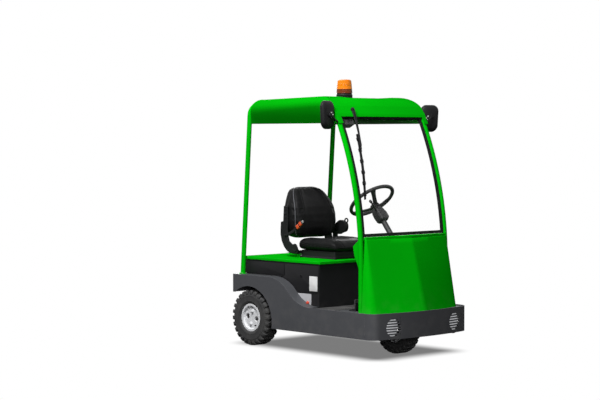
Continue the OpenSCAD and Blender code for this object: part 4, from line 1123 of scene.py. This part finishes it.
def fluted(bm, profile, at, flutes, depth):
    """A turned form whose wall runs in and out in small flutes, where a row's last value says so."""
    steps = flutes * 6
    rings = []
    for radius, height, cut in profile:
        ring = []
        for i in range(steps):
            a = 2 * math.pi * i / steps
            r = radius - depth * cut * (0.5 - 0.5 * math.cos(flutes * a))
            ring.append(at + Vector((r * math.cos(a), r * math.sin(a), height)))
        rings.append(ring)
    band(bm, rings)


lens_at = BEACON_AT + Vector((0, 0, BEACON_FOOT))
bm = bmesh.new()
fluted(bm, [(0.0650, 0.000, 0), (0.0655, 0.004, 0), (0.0650, 0.008, 1), (0.0630, 0.030, 1),
            (0.0625, 0.034, 0)], lens_at, 40, 0.0016)
put("beacon_band", bm, dark_amber, "chassis")
bm = bmesh.new()
fluted(bm, [(0.0600, 0.033, 0), (0.0628, 0.035, 0), (0.0625, 0.038, 1), (0.0595, 0.066, 1),
            (0.0590, 0.069, 0), (0.0598, 0.071, 0), (0.0590, 0.073, 1), (0.0560, 0.098, 1),
            (0.0545, 0.103, 0), (0.0500, 0.1095, 0), (0.0380, 0.1125, 0), (0.0150, 0.1130, 0)],
       lens_at, 40, 0.0018)
piece = put("beacon_lens_fluted", bm, amber, "chassis")
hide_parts("beacon_lens")

# Seat deck
# A folded green steel lid over the batteries that carries the seat. It swings up and back on two
# knuckled hinges along its rear edge.
softened("seat_deck", green_coat, 0.003, 3)

# Seat
# A work seat: moulded pan on slide rails, foam cushion and back in black vinyl with
# raised side bolsters and welted seams, and a curved steel arm on each side that carries the back.


def vinyl(name, colour):
    made, shader, here = surface(name)
    rub = ease(noise(here, 7.0, 4.0), 0.42, 0.72)
    grain = cells(here, 420.0) * 0.7 + noise(here, 900.0, 2.0) * 0.3
    feed(shader, {
        "Base Color": tint(rub, shade(colour, 0.8), shade(colour, 1.35)),
        "Roughness": grain * 0.12 - rub * 0.08 + 0.46,
        "Normal": bump(grain, 0.0006, 0.35),
        "Specular IOR Level": 0.10,
    })
    return made


black_vinyl = vinyl("black_vinyl", (0.0070, 0.0070, 0.0074))
grey_vinyl = vinyl("grey_vinyl", (0.120, 0.118, 0.130))


def along_table(table, t):
    """Reads a smooth value from a table of (place, value ...) rows."""
    for row, following in zip(table, table[1:]):
        if t <= following[0]:
            s = max(0.0, (t - row[0]) / (following[0] - row[0]))
            return [a + (b - a) * s for a, b in zip(row[1:], following[1:])]
    return list(table[-1][1:])


def stations(table):
    """The places of a table's rows, with two more between each and the next."""
    rows = [row[0] for row in table]
    return [a + (b - a) * k / 3 for a, b in zip(rows, rows[1:]) for k in range(3)] + rows[-1:]


def smoothed(bm, rounds=2):
    for _ in range(rounds):
        bmesh.ops.smooth_vert(
            bm, verts=bm.verts, factor=0.5, use_axis_x=True, use_axis_y=True, use_axis_z=True)


SWELL, VOXEL = 0.006, 0.006


def stuffed(bm):
    """Foam under a tight cover: the form is remeshed, swells a little under pressure, and is set."""
    mesh = bpy.data.meshes.new("foam_form")
    bm.to_mesh(mesh)
    bm.free()
    form = bpy.data.objects.new("foam_form", mesh)
    bpy.context.scene.collection.objects.link(form)
    remesh = form.modifiers.new("even_faces", "REMESH")
    remesh.mode, remesh.voxel_size = "VOXEL", VOXEL
    graph = bpy.context.evaluated_depsgraph_get()
    even = bpy.data.meshes.new_from_object(form.evaluated_get(graph))
    form.modifiers.clear()
    form.data = even
    rest = [v.co.copy() for v in even.vertices]
    cloth = form.modifiers.new("cover", "CLOTH")
    cloth.settings.use_pressure = True
    cloth.settings.uniform_pressure_force = 4.0
    cloth.settings.effector_weights.gravity = 0.0
    cloth.settings.quality = 4
    scene = bpy.context.scene
    for step in range(1, 21):
        scene.frame_set(step)
    blown = form.evaluated_get(bpy.context.evaluated_depsgraph_get())
    swollen = [v.co.copy() for v in blown.data.vertices]
    form.modifiers.clear()
    scene.frame_set(1)
    for v, start, end in zip(even.vertices, rest, swollen):
        move = end - start
        v.co = start + move * min(1.0, SWELL / max(move.length, 1e-9))
    out = bmesh.new()
    out.from_mesh(even)
    bpy.data.objects.remove(form)
    smoothed(out)
    bmesh.ops.subdivide_edges(out, edges=out.edges, cuts=1, use_grid_fill=True, smooth=0.0)
    smoothed(out)
    return out


def sewn(bm, away, depth, width):
    """Draws the cover in along a seam, where away() gives a point's distance from it."""
    bm.normal_update()
    moves = [(v, v.normal * (depth * math.exp(-((away(v.co) / width) ** 2)))) for v in bm.verts]
    for v, move in moves:
        v.co -= move


# Height, half width, front and rear of the back, from its foot to its crown
BACK = ((0.8860, 0.145, -0.388, -0.527), (0.8890, 0.176, -0.380, -0.531), (0.900, 0.203, -0.370, -0.535),
        (0.918, 0.217, -0.362, -0.537), (0.960, 0.229, -0.354, -0.539), (1.018, 0.234, -0.351, -0.540),
        (1.075, 0.233, -0.353, -0.540), (1.139, 0.226, -0.366, -0.539), (1.185, 0.213, -0.389, -0.541),
        (1.217, 0.199, -0.409, -0.545), (1.250, 0.183, -0.432, -0.549), (1.272, 0.168, -0.449, -0.551),
        (1.288, 0.147, -0.463, -0.553), (1.297, 0.118, -0.475, -0.553), (1.3015, 0.080, -0.488, -0.549))
BACK_EDGE, WELT_IN = 0.034, 0.017


def evenly(outline, count):
    """A closed outline, walked in equal steps."""
    ends = [Vector(p) for p in outline] + [Vector(outline[0])]
    legs = [(b - a).length for a, b in zip(ends, ends[1:])]
    out, i, gone = [], 0, 0.0
    for k in range(count):
        at = sum(legs) * k / count
        while gone + legs[i] < at:
            gone += legs[i]
            i += 1
        out.append(ends[i].lerp(ends[i + 1], (at - gone) / legs[i]))
    return out


def back_ring(z):
    half, front, rear = along_table(BACK, z)
    deep = front - rear
    ring = []
    for y, v in evenly(rounded(2 * half, deep, min(BACK_EDGE, 0.46 * deep), 6), 80):
        x = (front + rear) / 2 + v
        if v > 0:
            side = math.exp(-(((abs(y) - 0.78 * half) / (0.24 * half)) ** 2))
            x += 2 * v / deep * (0.009 * side - 0.008 * (1 - side) * (1 - (y / half) ** 2))
        ring.append(Vector((x, y, z)))
    return ring


bm = bmesh.new()
band(bm, [back_ring(z) for z in stations(BACK)])
bmesh.ops.recalc_face_normals(bm, faces=bm.faces)
bm = stuffed(bm)


def back_seam(co):
    half, front, rear = along_table(BACK, co.z)
    if co.x < (front + rear) / 2:
        return 1.0
    return abs(abs(co.y) - 0.66 * half)


def back_welt(co):
    half, front, _ = along_table(BACK, co.z)
    return co.x - (front - WELT_IN) if abs(co.y) > 0.7 * half or co.z > 1.29 else 1.0


sewn(bm, back_seam, 0.0030, 0.0045)
sewn(bm, back_welt, 0.0022, 0.0040)
back_tree = BVHTree.FromBMesh(bm)
piece = put("seat_back_cover", bm, black_vinyl, "deck", 80.0)
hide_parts("seat_back")


def laid_on(tree, points, lift):
    """A path drawn on to a cover's skin."""
    out = []
    for p in points:
        at, normal, _, _ = tree.find_nearest(Vector(p))
        out.append(at + normal * lift)
    return out


def evened(path, rounds=3):
    for _ in range(rounds):
        path = [path[0]] + [(a + 2 * b + c) / 4 for a, b, c in zip(path, path[1:], path[2:])] + [path[-1]]
    return path


def mirrored(path):
    """A path on the right side, walked back on the left."""
    return [Vector((p.x, -p.y, p.z)) for p in path[::-1]]


bm = bmesh.new()
right_side = []
for i in range(40):
    z = 0.900 + (1.290 - 0.900) * i / 39
    half, front, _ = along_table(BACK, z)
    right_side.append(Vector((front - WELT_IN, -half * 1.02, z)))
crown = [Vector((-0.5060, -0.120 + 0.24 * i / 16, 1.315)) for i in range(17)]
welt = right_side + crown + mirrored(right_side)
rod(bm, evened(laid_on(back_tree, welt, 0.0012)), 0.0034, 10)
put("back_welt", bm, grey_vinyl, "deck")

# Station along the seat, half width, underside, top at the middle and top on the bolsters
CUSHION = ((-0.372, 0.150, 0.800, 0.850, 0.853), (-0.366, 0.195, 0.795, 0.862, 0.868),
           (-0.345, 0.220, 0.792, 0.871, 0.882), (-0.250, 0.228, 0.7905, 0.873, 0.893),
           (-0.120, 0.229, 0.7905, 0.871, 0.893), (-0.020, 0.228, 0.7905, 0.872, 0.888),
           (0.050, 0.224, 0.791, 0.868, 0.876), (0.078, 0.214, 0.794, 0.855, 0.859),
           (0.091, 0.195, 0.802, 0.838, 0.840), (0.096, 0.165, 0.812, 0.826, 0.827))


def cushion_ring(x):
    half, under, middle_top, bolster_top = along_table(CUSHION, x)
    ring = []
    for i in range(56):
        a = 2 * math.pi * i / 56
        c, s = math.cos(a), math.sin(a)
        y = half * math.copysign(abs(c) ** 0.5, c)
        bolster = math.exp(-(((abs(y) - 0.80 * half) / (0.26 * half)) ** 2))
        top = middle_top + (bolster_top - middle_top) * bolster
        mid, tall = (top + under) / 2, (top - under) / 2
        ring.append(Vector((x, y, mid + tall * math.copysign(abs(s) ** 0.5, s))))
    return ring


bm = bmesh.new()
band(bm, [cushion_ring(x) for x in stations(CUSHION)])
bmesh.ops.recalc_face_normals(bm, faces=bm.faces)
bm = stuffed(bm)


def cushion_seam(co):
    half, under, middle_top, _ = along_table(CUSHION, co.x)
    if co.z < (under + middle_top) / 2:
        return 1.0
    return abs(abs(co.y) - 0.60 * half)


def welt_height(x):
    """The welt runs high behind and falls towards the front."""
    _, under, middle_top, _ = along_table(CUSHION, x)
    return under + (middle_top - under) * (0.42 + 0.36 * max(0.0, -0.12 - x) / 0.25)


def cushion_welt(co):
    return co.z - welt_height(co.x)


sewn(bm, cushion_seam, 0.0045, 0.0050)
sewn(bm, cushion_welt, 0.0022, 0.0040)
cushion_tree = BVHTree.FromBMesh(bm)
piece = put("seat_cushion_cover", bm, black_vinyl, "deck", 80.0)
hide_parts("seat_cushion")
bm = bmesh.new()
right_side = []
for i in range(60):
    x = -0.366 + (0.091 + 0.366) * i / 59
    half = along_table(CUSHION, x)[0]
    right_side.append(Vector((x, -half * 1.03, welt_height(x))))
front_run = [Vector((0.112, -0.19 + 0.38 * i / 20, 0.820)) for i in range(21)]
welt = right_side + front_run + mirrored(right_side)
rod(bm, evened(laid_on(cushion_tree, welt, 0.0010)), 0.0030, 10)
put("cushion_welt", bm, black_vinyl, "deck")

softened("seat_base", black_plastic, 0.008, 4)
bm = bmesh.new()
for sign in (-1, 1):
    plate(bm, rounded(0.420, 0.016, 0.002, 2), 0.010,
          facing((-0.140, sign * 0.178, 0.7345), (0, sign, 0)) @ shift(0, 0, 0.012), 0.001)
put("slide_rails", bm, black_coat, "deck")

# Seat arms, buckle and belt
# Curved moulded covers over the recliner arms. A red buckle with its steel tip stands on a short stiff
# strap bolted to the right arm, and the belt's reel sits at the left in a lobed case on its own post.
softened("seat_brackets", black_plastic, 0.005, 3)
ARM_OUT_Y = 0.2553
bm = bmesh.new()
for sign in (-1, 1):
    for z in (1.052, 1.084, 1.116):
        place = facing((-0.466, sign * ARM_OUT_Y, z), (0, sign, 0))
        plate(bm, rounded(0.030, 0.014, 0.003, 4), 0.0030, place, 0.0012)
    place = facing((-0.350, sign * ARM_OUT_Y, 0.806), (0, sign, 0))
    turned(bm, [(0.034, 0.0), (0.034, 0.003), (0.031, 0.006), (0.022, 0.0065), (0.021, 0.0055),
                (0.004, 0.0055)], place, 48)
put("recliner_ratchet", bm, black_plastic, "deck")
buckle_red = moulded("buckle_red", (0.66, 0.085, 0.020), 0.34, 500.0)
bm = bmesh.new()
strap = smooth_path([(-0.468, -0.2590, 0.902), (-0.430, -0.2590, 0.914), (-0.388, -0.2540, 0.934),
                     (-0.340, -0.2500, 0.966)])
across = Vector((-0.42, 0, 0.91))
band(bm, [[p + across * u + Vector((0, v, 0)) for u, v in rounded(0.022, 0.005, 0.002, 3)] for p in strap])
bolt(bm, facing((-0.462, -0.2610, 0.904), (0, -1, 0)), 0.009)
buckle_place = facing((-0.345, -0.2500, 0.962), (0.80, 0, 0.60), (0, 1, 0))
loft(bm, buckle_place, ((0.000, 0.024, 0.010, 0.004), (0.006, 0.030, 0.014, 0.005),
                        (0.088, 0.032, 0.015, 0.005), (0.092, 0.028, 0.011, 0.004)), 4)
put("buckle_stalk", bm, black_plastic, "deck")
bm = bmesh.new()
for start, wide in ((0.018, 0.036), (0.058, 0.034)):
    loft(bm, buckle_place @ shift(0, 0, start), (
        (0.000, wide - 0.003, 0.0175, 0.005), (0.002, wide, 0.0200, 0.006),
        (0.027, wide, 0.0200, 0.006), (0.029, wide - 0.003, 0.0175, 0.005)), 4)
piece = put("buckle_button", bm, buckle_red, "deck")
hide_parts("belt_buckle")
bm = bmesh.new()
loft(bm, buckle_place, ((0.090, 0.022, 0.004, 0.0015), (0.108, 0.024, 0.004, 0.0015),
                        (0.112, 0.018, 0.003, 0.001)), 3)
put("belt_tongue_tip", bm, zinc_steel, "deck")
low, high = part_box("belt_retractor")
CASE = ((-0.432, 0.958), (-0.407, 0.986), (-0.371, 1.012), (-0.342, 1.019), (-0.307, 1.010),
        (-0.279, 0.990), (-0.274, 0.955), (-0.290, 0.926), (-0.333, 0.911), (-0.359, 0.899),
        (-0.379, 0.903), (-0.393, 0.920), (-0.425, 0.931))
bm = bmesh.new()
case_place = facing((0, low.y, 0), (0, 1, 0))
lobes = evenly([(-p.x, p.y) for p in smooth_path([(x, z, 0) for x, z in CASE + CASE[:1]], 6)[:-1]], 72)
outline = [(p.x, p.y) for p in lobes]
band(bm, [[case_place @ Vector((u, v, h)) for u, v in drawn_in(outline, by)] for h, by in (
    (0.000, 0.005), (0.003, 0.0), (0.030, 0.0), (0.034, 0.004), (0.0365, 0.012))])
hub_place = facing((-0.345, low.y, 0.960), (0, 1, 0))
turned(bm, [(0.031, 0.034), (0.031, 0.0385), (0.028, 0.0400), (0.012, 0.0400), (0.010, 0.0380)],
       hub_place, 40)
post = (0.050, 0.018, 0.003)
loft(bm, shift(-0.412, low.y + 0.009, 0.7275), ((0.0,) + post, (0.21,) + post))
mouth = facing((-0.306, low.y + 0.018, 0.992), (0.62, 0, 0.78), (0, 1, 0))
loft(bm, mouth, ((0.0, 0.034, 0.020, 0.006), (0.014, 0.030, 0.018, 0.006), (0.018, 0.024, 0.012, 0.005)))
piece = put("belt_retractor_case", bm, black_plastic, "deck", 45.0)
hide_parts("belt_retractor")
bm = bmesh.new()
loop = [mouth @ Vector((0.017 * math.cos(a), 0.0, 0.030 + 0.018 * math.sin(a))) for a in
        (2 * math.pi * i / 40 for i in range(41))]
rod(bm, loop, 0.0060, 12)
put("belt_tongue", bm, black_plastic, "deck")

# Studio
# A plain pale floor that fades to white round the wheels. One broad soft light hangs high on the right,
# with a weak one in front and another behind. The camera stands far off at the front right, at cab height.
FOOTPRINT = (0.68, 0.34, 0.0)


def pale_floor(name):
    made, shader, here = surface(name)
    tree = made.node_tree
    past = here
    for how, other in (("ABSOLUTE", None), ("SUBTRACT", FOOTPRINT), ("MAXIMUM", (0.0, 0.0, 0.0))):
        terms = {0: past} if other is None else {0: past, 1: other}
        past = here.node("ShaderNodeVectorMath", {"operation": how}, terms)
    reach = here.node("ShaderNodeVectorMath", {"operation": "LENGTH"}, {0: past}, "Value")
    seen = here.node("ShaderNodeLightPath", {}, {}, "Is Camera Ray")
    pale = tint(noise(here, 2.0, 2.0), (0.94, 0.94, 0.94, 1.0), (0.96, 0.96, 0.96, 1.0))
    feed(shader, {
        "Base Color": tint(seen, (0.06, 0.06, 0.06, 1.0), pale),
        "Roughness": 0.9,
        "Specular IOR Level": 0.0,
    })
    glow = here.node("ShaderNodeEmission", {}, {"Color": (1.0, 1.0, 1.0, 1.0), "Strength": 1.0})
    mixed = here.node("ShaderNodeMixShader", {}, {
        0: (ease(reach, 0.0, 0.29) * 0.8 + 0.2) * seen, 1: Wire(shader.outputs[0]), 2: glow})
    tree.links.new(mixed.socket, tree.nodes["Material Output"].inputs["Surface"])
    return made


bm = bmesh.new()
turned(bm, [(60.0, 0.0), (0.0004, 0.0)], Matrix.Identity(4), 96)
mesh = bpy.data.meshes.new("studio_floor")
bm.to_mesh(mesh)
bm.free()
mesh.materials.append(pale_floor("pale_floor"))
floor = bpy.data.objects.new("studio_floor", mesh)
bpy.context.scene.collection.objects.link(floor)
floor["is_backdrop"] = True

world = bpy.data.worlds.new("studio")
bpy.context.scene.world = world
world.use_nodes = True
back = world.node_tree.nodes["Background"]
rays = Wire(world.node_tree.nodes.new("ShaderNodeLightPath").outputs["Is Camera Ray"])
glossy = Wire(rays.socket.node.outputs["Is Glossy Ray"])
passing = Wire(rays.socket.node.outputs["Is Transmission Ray"])
AMBIENT = 0.08
seen = ease(rays + glossy + passing, 0.0, 1.0)
feed(back, {"Color": (1.0, 1.0, 1.0, 1.0), "Strength": seen * (1 - AMBIENT) + AMBIENT})


CAB_MIDDLE, LIGHT_SIZE = Vector((0.0, 0.0, 1.0)), 2.5


def soft_light(name, at, watts):
    lamp = bpy.data.lights.new(name, "AREA")
    lamp.shape, lamp.size, lamp.energy = "SQUARE", LIGHT_SIZE, watts
    made = bpy.data.objects.new(name, lamp)
    bpy.context.scene.collection.objects.link(made)
    made.location = at
    made.rotation_mode = "QUATERNION"
    made.rotation_quaternion = (CAB_MIDDLE - Vector(at)).to_track_quat("-Z", "Y")


soft_light("right_light", (1.25, -4.66, 6.75), 690.0)
soft_light("front_light", (5.2, -4.2, 1.8), 110.0)
soft_light("rear_light", (-5.2, 3.4, 2.6), 130.0)

lens = bpy.data.cameras.new("photo_camera")
lens.lens, lens.sensor_width = 102.07, 36.0
camera = bpy.data.objects.new("photo_camera", lens)
bpy.context.scene.collection.objects.link(camera)
camera.location = (9.939, -9.721, 1.708)
camera.rotation_mode = "QUATERNION"
camera.rotation_quaternion = Vector((-0.73342, 0.67880, -0.03632)).to_track_quat("-Z", "Y")
bpy.context.scene.camera = camera
bpy.context.scene.view_settings.view_transform = "Standard"

low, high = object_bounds()
